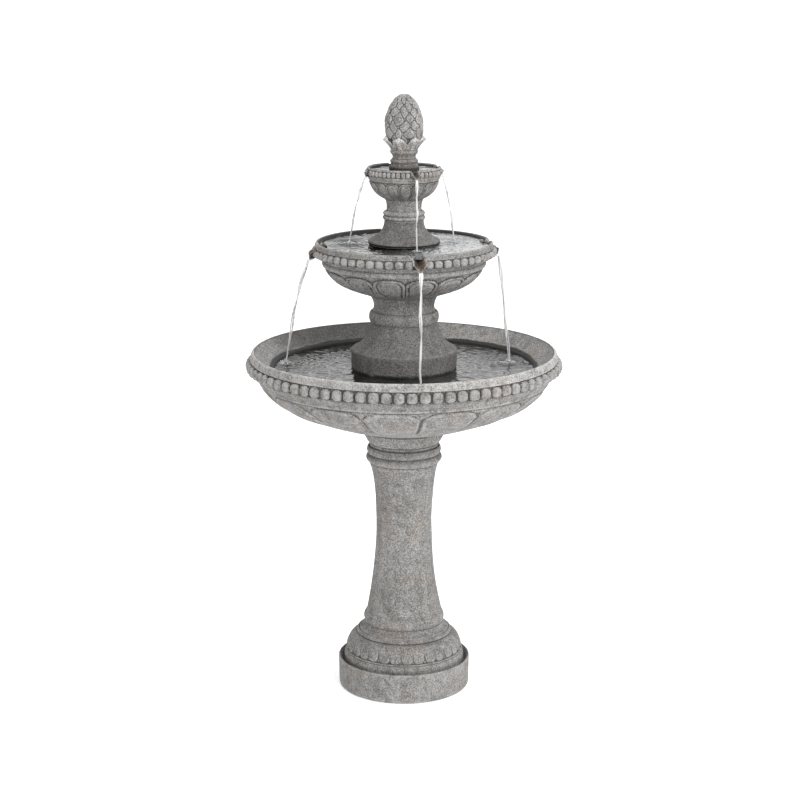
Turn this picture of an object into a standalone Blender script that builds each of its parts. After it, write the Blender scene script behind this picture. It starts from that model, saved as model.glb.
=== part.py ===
"""Three-tier garden fountain: turned cast pieces stacked on one another, a small submersible
pump hidden in the lower riser, and hoses that carry the water up to the finial.

Metres, +Z up, origin on the ground under the middle of the plinth. Front is -Y.
"""
import math

import bmesh
import bpy
from mathutils import Matrix, Vector

GAP = 0.0003             # clearance kept between pieces that touch
RUNNING_GAP = 0.0001     # clearance of the rotor on its shaft

# heights of the seats, from the ground up
PLINTH_HEIGHT = 0.0687
PLINTH_FLOOR = 0.0600    # recess that the foot stands in
FOOT_SEAT = 0.1250       # recess that the column stands in
FOOT_LIP = 0.1345
COLLAR_SEAT = 0.5490     # socket at the top of the column
COLLAR_TOP = 0.5660
BASIN_FLOOR = 0.6250
BASIN_RIM = 0.7830
RISER_SEAT = 0.8620      # socket at the top of the lower riser
RISER_TOP = 0.8775
DISH_FLOOR = 0.9320
DISH_RIM = 1.0287
STEM_SEAT = 1.0860       # socket at the top of the upper riser
STEM_TOP = 1.0980
CUP_FLOOR = 1.1600
CUP_RIM = 1.1940
TOTAL_HEIGHT = 1.3512

# outside radii
PLINTH_RADIUS = 0.1503
FOOT_RADIUS = 0.1370
SKIRT_RADIUS = 0.1018
WAIST_RADIUS = 0.0628
COLLAR_RADIUS = 0.0858
BASIN_RADIUS = 0.3544
DRUM_RADIUS = 0.1165
DISH_RADIUS = 0.2055
CUP_RADIUS = 0.0860
CONE_RADIUS = 0.0425

# spouts let into the rims: turn of the first one from the front, and count round the rim
SPOUT_COUNT = 4
DISH_SPOUT_TURN = math.radians(9.5)
CUP_SPOUT_TURN = math.radians(18.0)

# pump
PUMP_AXIS_HEIGHT = 0.6680
CASING_WIDTH = 0.0600
CASING_HEIGHT = 0.0560
CASING_BACK = -0.0620    # along the pump's own axis, forwards positive
VOLUTE_BACK = -0.0087
VOLUTE_FRONT = 0.0085
COVER_FRONT = 0.0340
ROTOR_BORE = 0.0123
IMPELLER_RADIUS = 0.0165
SHAFT_RADIUS = 0.0015
OUTLET_TOP = 0.7040

HOSE_BORE = 0.0056
HOSE_RADIUS = 0.0080


def empty_scene():
    for item in list(bpy.data.objects):
        bpy.data.objects.remove(item)


def new_collection(name):
    collection = bpy.data.collections.new(name)
    bpy.context.scene.collection.children.link(collection)
    return collection


def finish_material(name, colour, roughness, metallic=0.0):
    material = bpy.data.materials.new(name)
    material.use_nodes = True
    shader = material.node_tree.nodes["Principled BSDF"]
    shader.inputs["Base Color"].default_value = (*colour, 1.0)
    shader.inputs["Roughness"].default_value = roughness
    shader.inputs["Metallic"].default_value = metallic
    return material


empty_scene()
FOUNTAIN = new_collection("tiered_water_fountain")
CUTTERS = new_collection("cutters")


# ---- outlines ----

def bend(start, control, end, count=3):
    """Points of a smooth stretch of outline, without its first point."""
    points = []
    for step in range(1, count + 1):
        t = step / count
        points.append(tuple((1 - t) ** 2 * s + 2 * t * (1 - t) * c + t * t * e
                            for s, c, e in zip(start, control, end)))
    return points


def bulge(start, end, depth, count=2):
    """A stretch that swells outwards between two points by the given depth, first point left out."""
    middle = ((start[0] + end[0]) / 2 + 2 * depth, (start[1] + end[1]) / 2)
    return bend(start, middle, end, count)


# ---- pieces ----

def group(name, location=(0, 0, 0), rotation=(0, 0, 0), parent=None):
    """An empty that the pieces of one moving body hang on."""
    empty = bpy.data.objects.new(name, None)
    empty.location = location
    empty.rotation_euler = rotation
    empty.parent = parent
    FOUNTAIN.objects.link(empty)
    return empty


def new_piece(name, mesh, parent, material, cutter=False):
    piece = bpy.data.objects.new(name, mesh)
    if cutter:
        CUTTERS.objects.link(piece)
        piece.hide_render = True
        piece.display_type = "WIRE"
    else:
        FOUNTAIN.objects.link(piece)
        mesh.materials.append(material)
    piece.parent = parent
    return piece


def turned(name, outline, parent, material=None, steps=32, ring=True, cutter=False):
    """Turn an outline about Z. A ring's outline closes on itself; others start and end on the axis."""
    mesh = bpy.data.meshes.new(name)
    points = [(radius, 0.0, height) for radius, height in outline]
    edges = [(i, i + 1) for i in range(len(points) - 1)]
    if ring:
        edges.append((len(points) - 1, 0))
    mesh.from_pydata(points, edges, [])
    piece = new_piece(name, mesh, parent, material, cutter)
    screw = piece.modifiers.new("Screw", "SCREW")
    screw.steps = steps
    screw.render_steps = steps
    screw.use_merge_vertices = True
    screw.merge_threshold = 0.00001
    screw.use_smooth_shade = True
    return piece


def box(name, low, high, parent, material=None, bevel=0.0, cutter=False):
    mesh = bpy.data.meshes.new(name)
    shape = bmesh.new()
    bmesh.ops.create_cube(shape, size=1.0)
    for vert in shape.verts:
        vert.co = Vector([lo + (c + 0.5) * (hi - lo) for c, lo, hi in zip(vert.co, low, high)])
    shape.to_mesh(mesh)
    shape.free()
    piece = new_piece(name, mesh, parent, material, cutter)
    if bevel:
        rounding = piece.modifiers.new("Bevel", "BEVEL")
        rounding.width = bevel
        rounding.segments = 2
        rounding.limit_method = "ANGLE"
    return piece


def boxes(name, places, size, parent):
    """One cutter made of several equal boxes, each at a place given as a matrix."""
    mesh = bpy.data.meshes.new(name)
    shape = bmesh.new()
    for place in places:
        scaled = place @ Matrix.Diagonal((*size, 1.0))
        bmesh.ops.create_cube(shape, size=1.0, matrix=scaled)
    shape.to_mesh(mesh)
    shape.free()
    return new_piece(name, mesh, parent, None, cutter=True)


def rod(name, radius, low, high, parent, segments=24, cutter=False, material=None):
    """A plain cylinder along Z between two heights."""
    mesh = bpy.data.meshes.new(name)
    shape = bmesh.new()
    bmesh.ops.create_cone(shape, cap_ends=True, segments=segments, radius1=radius, radius2=radius,
                          depth=high - low, matrix=Matrix.Translation((0, 0, (low + high) / 2)))
    shape.to_mesh(mesh)
    shape.free()
    return new_piece(name, mesh, parent, material, cutter)


def combine(piece, tool, operation="DIFFERENCE"):
    modifier = piece.modifiers.new(tool.name, "BOOLEAN")
    modifier.operation = operation
    modifier.object = tool


# ---- base ----

def base_plinth(parent, stone):
    recess_edge = 0.1468
    bore = 0.0400
    outline = [(recess_edge, PLINTH_HEIGHT)]
    outline += [(0.1485, PLINTH_HEIGHT), (PLINTH_RADIUS, 0.0660), (0.1490, 0.0060)]
    outline += bend((0.1490, 0.0060), (0.1485, 0.0), (0.1430, 0.0), 2)
    outline += [(bore, 0.0), (bore, PLINTH_FLOOR), (0.1395, PLINTH_FLOOR)]
    plinth = turned("base_plinth", outline, parent, stone, steps=32)
    channel_half_width = 0.0110
    channel_height = 0.0140
    channel = box("cord_channel", (-channel_half_width, 0.0200, -0.0100),
                  (channel_half_width, 0.1700, channel_height), parent, cutter=True)
    combine(plinth, channel)


def foot(parent, stone):
    lip_inside = 0.1030
    passage = 0.0500
    outline = [(lip_inside, FOOT_LIP - 0.0010), (0.1040, FOOT_LIP), (0.1055, 0.1330), (0.1056, 0.1275)]
    outline += bend((0.1056, 0.1275), (0.1270, 0.1240), (0.1338, 0.0865), 3)
    outline += [(0.1330, 0.0842), (FOOT_RADIUS, 0.0815), (FOOT_RADIUS, PLINTH_FLOOR + GAP)]
    outline += [(0.1150, PLINTH_FLOOR + GAP), (0.1130, 0.0850), (0.0880, 0.1110)]
    outline += [(passage, 0.1110), (passage, FOOT_SEAT), (lip_inside, FOOT_SEAT)]
    turned("foot", outline, parent, stone, steps=32)


def column(parent, stone):
    socket = 0.0788
    passage = 0.0450
    outline = [(socket, COLLAR_TOP - 0.0010), (0.0805, COLLAR_TOP)]
    outline += bulge((0.0815, 0.5650), (0.0812, 0.5490), 0.0022)
    outline += bulge((0.0812, 0.5490), (0.0785, 0.5300), COLLAR_RADIUS - 0.0800)
    outline += [(0.0765, 0.5220)]
    outline += bend((0.0765, 0.5220), (0.0655, 0.4950), (WAIST_RADIUS, 0.3950), 3)
    outline += bend((WAIST_RADIUS, 0.3950), (0.0625, 0.2850), (0.0842, 0.1850), 4)
    outline += [(0.0886, 0.1723)]
    outline += bulge((0.0900, 0.1690), (0.0895, 0.1520), 0.0020)
    outline += bend((0.0895, 0.1520), (0.0920, 0.1380), (SKIRT_RADIUS, 0.1365), 2)
    outline += [(SKIRT_RADIUS, FOOT_SEAT + GAP), (passage, FOOT_SEAT + GAP)]
    outline += [(passage, COLLAR_SEAT), (socket, COLLAR_SEAT)]
    turned("column", outline, parent, stone, steps=24)


# ---- lower tier ----

def bottom_bowl(parent, stone):
    """Wide basin with its neck, which drops into the column's collar."""
    neck = 0.0774
    neck_hollow = 0.0550
    stopper_hole = 0.0200
    waterline = (0.2930, 0.7550)
    outline = [(0.3335, BASIN_RIM - 0.0008), (0.3358, BASIN_RIM), (0.3385, 0.7810)]
    outline += bend((0.3385, 0.7810), (0.3395, 0.7680), (0.3465, 0.7620), 2)
    outline += bulge((0.3480, 0.7615), (0.3480, 0.7410), BASIN_RADIUS - 0.3480)
    outline += [(0.3345, 0.7375), (0.3330, 0.7260), (0.3240, 0.7150)]
    outline += bend((0.3230, 0.7130), (0.2960, 0.6610), (0.2350, 0.6410), 4)
    outline += bend((0.2350, 0.6410), (0.1600, 0.6130), (0.0890, 0.5980), 2)
    outline += bend((0.0890, 0.5980), (0.0790, 0.5850), (neck, 0.5720), 2)
    outline += [(neck, COLLAR_SEAT + GAP), (neck_hollow, COLLAR_SEAT + GAP)]
    outline += [(neck_hollow, 0.5950), (stopper_hole, 0.6000), (stopper_hole, BASIN_FLOOR)]
    outline += [(0.1300, BASIN_FLOOR)]
    outline += bend((0.1300, BASIN_FLOOR), (0.2800, 0.6520), waterline, 4)
    outline += bend(waterline, (0.3150, 0.7680), (0.3335, BASIN_RIM - 0.0008), 2)[:-1]
    turned("bottom_bowl", outline, parent, stone, steps=40)


def cord_stopper(parent, rubber):
    """Tapered plug in the basin's floor that seals the way down to the column."""
    flange_top = BASIN_FLOOR + GAP + 0.0025
    outline = [(0.0035, flange_top), (0.0240, flange_top), (0.0250, BASIN_FLOOR + GAP)]
    outline += [(0.0196, BASIN_FLOOR + GAP), (0.0190, 0.6020), (0.0035, 0.6020)]
    turned("cord_stopper", outline, parent, rubber, steps=12)


def lower_riser(parent, stone):
    """Bell-shaped pedestal that covers the pump and carries the middle bowl."""
    socket = 0.0688
    outline = [(socket, RISER_TOP - 0.0010), (0.0705, RISER_TOP), (0.0725, 0.8765)]
    outline += bulge((0.0740, 0.8755), (0.0748, 0.8612), 0.0032)
    outline += bulge((0.0748, 0.8612), (0.0728, 0.8462), 0.0036)
    outline += [(0.0700, 0.8430)]
    outline += bend((0.0700, 0.8430), (0.0700, 0.7960), (0.1130, 0.7860), 4)
    outline += bend((0.1130, 0.7860), (0.1190, 0.7850), (0.1188, 0.7780), 2)
    outline += [(DRUM_RADIUS, 0.7550), (DRUM_RADIUS, BASIN_FLOOR + GAP)]
    outline += [(0.1000, BASIN_FLOOR + GAP), (0.1000, 0.7550)]
    outline += bend((0.1000, 0.7550), (0.0560, 0.7750), (0.0520, 0.8300), 3)
    outline += [(0.0520, RISER_SEAT), (socket, RISER_SEAT)]
    riser = turned("lower_riser", outline, parent, stone, steps=28)
    notch_half_width = 0.0160
    notch_top = BASIN_FLOOR + 0.0180
    reach = 0.1300
    across = box("inlet_notch_x", (-reach, -notch_half_width, 0.6000),
                 (reach, notch_half_width, notch_top), parent, cutter=True)
    along = box("inlet_notch_y", (-notch_half_width, -reach, 0.6000),
                (notch_half_width, reach, notch_top), parent, cutter=True)
    combine(riser, across)
    combine(riser, along)


# ---- spouts ----

def spout_place(turn, reach, height, slope):
    """Frame of a spout: X along its flow, outwards and down; Z away from its floor."""
    around = Matrix.Rotation(turn - math.pi / 2, 4, "Z")
    tilt = Matrix.Rotation(slope, 4, "Y")
    return around @ Matrix.Translation((reach, 0, height)) @ tilt


def chevron(name, half_width, depth, wall, length, place, parent, material=None, cutter=False):
    """A V-shaped trough along X, or the solid wedge that cuts its notch when wall is nothing."""
    outline = [(-half_width, 0.0), (0.0, -depth), (half_width, 0.0)]
    if wall:
        outline += [(half_width - wall, 0.0), (0.0, wall - depth), (wall - half_width, 0.0)]
    curve = bpy.data.curves.new(name, "CURVE")
    curve.dimensions = "2D"
    curve.fill_mode = "BOTH"
    curve.extrude = length / 2
    spline = curve.splines.new("POLY")
    spline.points.add(len(outline) - 1)
    for point, (across, up) in zip(spline.points, outline):
        point.co = (across, up, 0.0, 1.0)
    spline.use_cyclic_u = True
    guide = bpy.data.objects.new(name + "_curve", curve)
    bpy.context.scene.collection.objects.link(guide)
    bpy.context.view_layer.update()
    mesh = bpy.data.meshes.new_from_object(guide.evaluated_get(bpy.context.evaluated_depsgraph_get()))
    shape = bmesh.new()
    shape.from_mesh(mesh)
    bmesh.ops.remove_doubles(shape, verts=shape.verts, dist=0.00001)
    bmesh.ops.recalc_face_normals(shape, faces=shape.faces)
    flow = Matrix(((0, 0, 1, 0), (1, 0, 0, 0), (0, 1, 0, 0), (0, 0, 0, 1)))
    bmesh.ops.transform(shape, matrix=flow, verts=shape.verts)
    shape.to_mesh(mesh)
    shape.free()
    bpy.data.objects.remove(guide)
    mesh.name = name
    piece = new_piece(name, mesh, parent, material, cutter)
    piece.matrix_local = place
    return piece


def rim_spouts(stem, bowl, first_turn, reach, height, half_width, depth, length, parent, material):
    """Notches in a bowl's rim, each with a V-shaped spout laid in it."""
    slope = math.radians(24.0)
    wall = 0.0022
    for number in range(SPOUT_COUNT):
        turn = first_turn + number * 2 * math.pi / SPOUT_COUNT
        place = spout_place(turn, reach, height, slope)
        rise = 0.0300
        spread = rise * half_width / depth
        notch_place = place @ Matrix.Translation((0, 0, rise))
        notch = chevron(stem + "_notch_" + str(number + 1), half_width + spread + 2 * GAP,
                        depth + rise + 2 * GAP, 0.0, length * 2, notch_place, parent, cutter=True)
        combine(bowl, notch)
        chevron(stem + "_spout_" + str(number + 1), half_width, depth, wall, length, place,
                parent, material)


# ---- middle tier ----

def middle_bowl(parent, stone, spout_finish):
    neck = 0.0677
    neck_hollow = 0.0420
    fitting_hole = 0.0095
    outline = [(0.1900, DISH_RIM - 0.0008), (0.1935, DISH_RIM), (0.1965, 1.0265)]
    outline += bend((0.1965, 1.0265), (0.1970, 1.0180), (0.2005, 1.0150), 2)
    outline += bulge((0.2010, 1.0145), (0.2010, 0.9990), DISH_RADIUS - 0.2010)
    outline += [(0.1965, 0.9965), (0.1950, 0.9890), (0.1870, 0.9790)]
    outline += bend((0.1800, 0.9720), (0.1630, 0.9410), (0.1250, 0.9260), 4)
    outline += bend((0.1250, 0.9260), (0.1000, 0.9170), (0.0790, 0.9100), 2)
    outline += bend((0.0790, 0.9100), (0.0735, 0.8990), (neck, 0.8900), 2)
    outline += [(neck, RISER_SEAT + GAP), (neck_hollow, RISER_SEAT + GAP), (neck_hollow, 0.9080)]
    outline += [(fitting_hole, 0.9140), (fitting_hole, DISH_FLOOR), (0.0700, DISH_FLOOR)]
    outline += bend((0.0700, DISH_FLOOR), (0.1700, 0.9480), (0.1800, 1.0150), 4)
    bowl = turned("middle_bowl", outline, parent, stone, steps=36)
    rim_spouts("middle", bowl, DISH_SPOUT_TURN, 0.1960, 1.0180, 0.0150, 0.0190, 0.0420,
               parent, spout_finish)


def upper_riser(parent, stone):
    socket = 0.0393
    outline = [(socket, STEM_TOP - 0.0008), (0.0408, STEM_TOP)]
    outline += bulge((0.0435, 1.0975), (0.0440, 1.0790), 0.0036)
    outline += [(0.0438, 1.0760)]
    outline += bend((0.0438, 1.0760), (0.0445, 1.0470), (0.0755, 1.0350), 3)
    outline += bend((0.0755, 1.0350), (0.0810, 1.0320), (0.0785, 1.0245), 2)
    outline += [(0.0620, 1.0255), (0.0600, 1.0100), (0.0600, DISH_FLOOR + GAP)]
    outline += [(0.0440, DISH_FLOOR + GAP), (0.0420, 1.0150)]
    outline += bend((0.0420, 1.0150), (0.0290, 1.0300), (0.0280, 1.0700), 3)
    outline += [(0.0280, STEM_SEAT), (socket, STEM_SEAT)]
    turned("upper_riser", outline, parent, stone, steps=24)


# ---- top tier ----

def top_bowl(parent, stone, spout_finish):
    neck = 0.0384
    neck_hollow = 0.0220
    fitting_hole = 0.0075
    outline = [(0.0770, CUP_RIM - 0.0006), (0.0785, CUP_RIM), (0.0815, 1.1905)]
    outline += bulge((0.0825, 1.1890), (0.0825, 1.1780), CUP_RADIUS - 0.0825)
    outline += [(0.0800, 1.1760), (0.0795, 1.1710), (0.0775, 1.1660)]
    outline += bend((0.0770, 1.1630), (0.0705, 1.1350), (0.0425, 1.1235), 4)
    outline += bend((0.0425, 1.1235), (0.0390, 1.1170), (neck, 1.1080), 2)
    outline += [(neck, STEM_SEAT + GAP), (neck_hollow, STEM_SEAT + GAP), (neck_hollow, 1.1300)]
    outline += [(fitting_hole, 1.1360), (fitting_hole, CUP_FLOOR), (0.0480, CUP_FLOOR)]
    outline += bend((0.0480, CUP_FLOOR), (0.0690, 1.1640), (0.0725, 1.1850), 3)
    bowl = turned("top_bowl", outline, parent, stone, steps=28)
    rim_spouts("top", bowl, CUP_SPOUT_TURN, 0.0820, 1.1880, 0.0090, 0.0120, 0.0230,
               parent, spout_finish)


def finial(parent, stone):
    """Pine cone over a collar of leaves on a turned foot, hollow below for the water."""
    bore = 0.0155
    bore_top = 1.2000
    outline = [(0.0, TOTAL_HEIGHT), (0.0100, TOTAL_HEIGHT)]
    outline += bend((0.0100, TOTAL_HEIGHT), (0.0380, 1.3330), (CONE_RADIUS, 1.2860), 4)
    outline += bend((CONE_RADIUS, 1.2860), (0.0425, 1.2700), (0.0400, 1.2640), 2)
    outline += [(0.0470, 1.2575), (0.0478, 1.2535)]
    outline += bend((0.0478, 1.2535), (0.0390, 1.2380), (0.0300, 1.2310), 2)
    outline += bulge((0.0285, 1.2290), (0.0280, 1.2210), 0.0018, 2)
    outline += bend((0.0280, 1.2210), (0.0235, 1.2150), (0.0306, 1.2090), 2)
    outline += [(0.0306, 1.2040), (0.0285, 1.2010), (0.0330, 1.1950), (0.0330, CUP_FLOOR + GAP)]
    outline += [(bore, CUP_FLOOR + GAP), (bore, bore_top), (0.0, bore_top)]
    piece = turned("finial", outline, parent, stone, steps=24, ring=False)
    outlet_radius = 0.0040
    outlet_height = 1.1800
    for number, turn in enumerate((0.0, math.pi / 2)):
        outlet = rod("finial_outlet_" + str(number + 1), outlet_radius, -0.0500, 0.0500, parent,
                     segments=8, cutter=True)
        outlet.location = (0, 0, outlet_height)
        outlet.rotation_euler = (math.pi / 2, 0, turn)
        combine(piece, outlet)


# ---- water fittings ----

def bulkhead(stem, floor, floor_thickness, barb_up, barb_down, stem_radius, parent, plastic, rubber):
    """Hose fitting through a bowl's floor, with its gasket above and its locknut below."""
    gasket_top = floor + GAP + 0.0015
    flange_low = gasket_top + GAP
    flange = stem_radius + 0.0070
    under = floor - floor_thickness
    barb = HOSE_BORE - GAP
    bore = barb - 0.0014
    outline = [(bore, flange_low + barb_up), (barb - 0.0008, flange_low + barb_up)]
    outline += [(barb, flange_low + barb_up - 0.0040), (barb, flange_low + 0.0030)]
    outline += [(flange, flange_low + 0.0030), (flange, flange_low), (stem_radius, flange_low)]
    outline += [(stem_radius, under - 0.0120), (barb, under - 0.0120)]
    outline += [(barb, under - barb_down + 0.0040), (barb - 0.0008, under - barb_down)]
    outline += [(bore, under - barb_down)]
    turned(stem + "_fitting", outline, parent, plastic, steps=12)
    hole = stem_radius + 0.0005
    ring = [(hole, gasket_top), (flange, gasket_top), (flange, floor + GAP), (hole, floor + GAP)]
    turned(stem + "_gasket", ring, parent, rubber, steps=12)
    nut = rod(stem + "_locknut", stem_radius + 0.0060, under - 0.0080, under - GAP, parent,
              segments=6, material=plastic)
    combine(nut, rod(stem + "_locknut_hole", stem_radius + GAP, under - 0.0300, under + 0.0200,
                     parent, segments=20, cutter=True))


def hose(name, low, high, parent, rubber):
    outline = [(HOSE_BORE, high), (HOSE_RADIUS, high), (HOSE_RADIUS, low), (HOSE_BORE, low)]
    turned(name, outline, parent, rubber, steps=12)


# ---- pump: local Z points forwards along its axis, local Y points up ----

def pump_casing(parent, plastic):
    """Motor housing; the rotor runs in its blind bore."""
    half_width = CASING_WIDTH / 2
    half_height = CASING_HEIGHT / 2
    casing = box("pump_casing", (-half_width, -half_height, CASING_BACK),
                 (half_width, half_height, VOLUTE_BACK - GAP), parent, plastic, bevel=0.005)
    bore_end = CASING_BACK + 0.0120
    combine(casing, rod("rotor_bore", ROTOR_BORE, bore_end, 0.0100, parent, cutter=True))
    gland_seat = rod("gland_seat", 0.0052, CASING_BACK - 0.0100, CASING_BACK + 0.0060, parent,
                     segments=16, cutter=True)
    combine(casing, gland_seat)


def cord_gland(parent, rubber):
    """Strain relief in the back of the motor housing, where the supply cord would leave."""
    back = CASING_BACK - 0.0220
    seat = CASING_BACK + 0.0060 - GAP
    outline = [(0.0, seat), (0.0049, seat), (0.0049, CASING_BACK - GAP), (0.0065, CASING_BACK - GAP)]
    outline += [(0.0065, CASING_BACK - 0.0030), (0.0042, back), (0.0030, back)]
    outline += [(0.0030, CASING_BACK - 0.0030), (0.0, CASING_BACK - 0.0030)]
    turned("cord_gland", outline, parent, rubber, steps=12, ring=False)


def pump_volute(parent, plastic):
    """Round chamber that the impeller turns in, with the outlet pipe standing on it."""
    chamber = 0.0205
    outer = 0.0235
    outline = [(chamber, VOLUTE_FRONT), (outer, VOLUTE_FRONT), (outer, VOLUTE_BACK)]
    outline += [(ROTOR_BORE, VOLUTE_BACK), (ROTOR_BORE, VOLUTE_BACK + 0.0030)]
    outline += [(chamber, VOLUTE_BACK + 0.0030)]
    volute = turned("pump_volute", outline, parent, plastic, steps=24)
    pipe_top = OUTLET_TOP - PUMP_AXIS_HEIGHT
    pipe = rod("outlet_pipe", 0.0078, 0.0215, pipe_top, parent, cutter=True, segments=20)
    pipe_bore = rod("outlet_pipe_bore", 0.0050, 0.0150, pipe_top + 0.0100, parent, cutter=True,
                    segments=20)
    for tool in (pipe, pipe_bore):
        tool.rotation_euler = (-math.pi / 2, 0, 0)
    combine(volute, pipe, "UNION")
    combine(volute, pipe_bore)


def impeller_cover(parent, plastic):
    """Plate that closes the volute; water enters through its ring of holes."""
    back = VOLUTE_FRONT + GAP
    front = back + 0.0030
    bush_seat = 0.0034
    outline = [(bush_seat, front), (0.0232, front), (0.0232, back), (bush_seat, back)]
    cover = turned("impeller_cover", outline, parent, plastic, steps=24)
    hole_count = 6
    for number in range(hole_count):
        turn = number * 2 * math.pi / hole_count
        hole = rod("inlet_hole_" + str(number + 1), 0.0026, 0.0, 0.0300, parent, segments=8,
                   cutter=True)
        hole.location = (0.0085 * math.cos(turn), 0.0085 * math.sin(turn), 0)
        combine(cover, hole)


def pump_front_cover(parent, plastic):
    """Snap-on strainer over the volute: an open-backed box with slots and a slot for the outlet."""
    half_width = CASING_WIDTH / 2
    half_height = CASING_HEIGHT / 2
    wall = 0.0025
    cover = box("pump_front_cover", (-half_width, -half_height, VOLUTE_BACK),
                (half_width, half_height, COVER_FRONT), parent, plastic, bevel=0.004)
    inside = box("cover_inside", (wall - half_width, wall - half_height, VOLUTE_BACK - 0.0100),
                 (half_width - wall, half_height - wall, COVER_FRONT - wall), parent, cutter=True)
    outlet_slot = box("outlet_slot", (-0.0086, 0.0200, VOLUTE_BACK - 0.0100),
                      (0.0086, 0.0400, 0.0086), parent, cutter=True)
    dial_hole = rod("dial_hole", 0.0045, COVER_FRONT - 0.0100, COVER_FRONT + 0.0100, parent,
                    segments=20, cutter=True)
    places = [Matrix.Translation((side * x, 0.0, COVER_FRONT))
              for side in (-1, 1) for x in (0.0150, 0.0190, 0.0230)]
    slots = boxes("intake_slots", places, (0.0018, 0.0340, 0.0200), parent)
    for tool in (inside, outlet_slot, dial_hole, slots):
        combine(cover, tool)


def flow_dial(parent, plastic):
    """Turning knob on the strainer, which opens and closes the intake."""
    front = COVER_FRONT + 0.0065
    outline = [(0.0, front), (0.0085, front), (0.0100, front - 0.0015), (0.0100, COVER_FRONT + GAP)]
    outline += [(0.0042, COVER_FRONT + GAP), (0.0042, COVER_FRONT - 0.0040), (0.0, COVER_FRONT - 0.0040)]
    dial = turned("flow_dial", outline, parent, plastic, steps=16, ring=False)
    grip = box("dial_grip", (-0.0012, -0.0080, front - 0.0010), (0.0012, 0.0080, front + 0.0030),
               parent, cutter=True)
    combine(dial, grip, "UNION")


def impeller(parent, plastic):
    bore = SHAFT_RADIUS + RUNNING_GAP
    back = VOLUTE_BACK + 0.0045
    front = VOLUTE_FRONT - 0.0015
    outline = [(bore, front), (0.0050, front), (0.0050, back + 0.0015), (IMPELLER_RADIUS, back + 0.0015)]
    outline += [(IMPELLER_RADIUS, back), (0.0060, back), (0.0060, VOLUTE_BACK - 0.0010)]
    outline += [(bore, VOLUTE_BACK - 0.0010)]
    wheel = turned("impeller", outline, parent, plastic, steps=16)
    blade_count = 6
    blade_middle = (0.0040 + IMPELLER_RADIUS - 0.0005) / 2
    blade_height = front - 0.0010 - back
    places = [Matrix.Rotation(number * 2 * math.pi / blade_count, 4, "Z")
              @ Matrix.Translation((blade_middle, 0, back + 0.0005 + blade_height / 2))
              for number in range(blade_count)]
    blades = boxes("impeller_blades", places,
                   (IMPELLER_RADIUS - 0.0045, 0.0014, blade_height - 0.0010), parent)
    combine(wheel, blades, "UNION")


def rotor_magnet(parent, magnet):
    front = VOLUTE_BACK - 0.0010 - GAP
    back = CASING_BACK + 0.0170
    bore = SHAFT_RADIUS + RUNNING_GAP
    outline = [(bore, front), (0.0108, front), (0.0108, back), (bore, back)]
    turned("rotor_magnet", outline, parent, magnet, steps=16)


def shaft_and_bushes(parent, ceramic, rubber):
    front_bush_back = VOLUTE_FRONT + GAP
    front = front_bush_back + 0.0020
    rear_bush_back = CASING_BACK + 0.0120 + GAP
    back = rear_bush_back + 0.0012
    rod("pump_shaft", SHAFT_RADIUS, back, front - GAP, parent, segments=16, material=ceramic)
    hole = SHAFT_RADIUS + GAP
    rear = [(hole, rear_bush_back + 0.0040), (0.0060, rear_bush_back + 0.0040)]
    rear += [(0.0060, rear_bush_back), (0.0, rear_bush_back), (0.0, back - GAP), (hole, back - GAP)]
    turned("rear_bush", rear, parent, rubber, steps=12)
    fore = [(0.0, front + 0.0015), (0.0031, front + 0.0015), (0.0031, front_bush_back)]
    fore += [(hole, front_bush_back), (hole, front), (0.0, front)]
    turned("front_bush", fore, parent, rubber, steps=12)


def outlet_adapter(parent, plastic):
    """Barbed piece that slips over the outlet pipe and takes the hose."""
    pipe_hole = 0.0081
    skirt = 0.0105
    shoulder = OUTLET_TOP + GAP
    barb = HOSE_BORE - GAP
    bore = barb - 0.0014
    outline = [(bore, shoulder + 0.0260), (barb - 0.0010, shoulder + 0.0260)]
    outline += [(barb, shoulder + 0.0200), (barb, shoulder + 0.0040), (skirt, shoulder + 0.0030)]
    outline += [(skirt, OUTLET_TOP - 0.0068), (pipe_hole, OUTLET_TOP - 0.0068)]
    outline += [(pipe_hole, shoulder), (bore, shoulder)]
    turned("outlet_adapter", outline, parent, plastic, steps=12)


def suction_cups(parent, rubber):
    """Four rubber cups under the pump, pressed into its floor and standing on the basin."""
    half_height = CASING_HEIGHT / 2
    under_casing = PUMP_AXIS_HEIGHT - half_height - GAP
    floor = BASIN_FLOOR + GAP
    sides = ((-0.0210, 0.0310), (0.0210, 0.0310), (-0.0210, 0.0540), (0.0210, 0.0540))
    for number, (x, y) in enumerate(sides):
        outline = [(0.0, under_casing), (0.0040, under_casing), (0.0035, floor + 0.0080)]
        outline += [(0.0100, floor + 0.0010), (0.0100, floor), (0.0, floor + 0.0030)]
        cup = turned("suction_cup_" + str(number + 1), outline, parent, rubber, steps=12, ring=False)
        cup.location = (x, y, 0)


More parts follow.
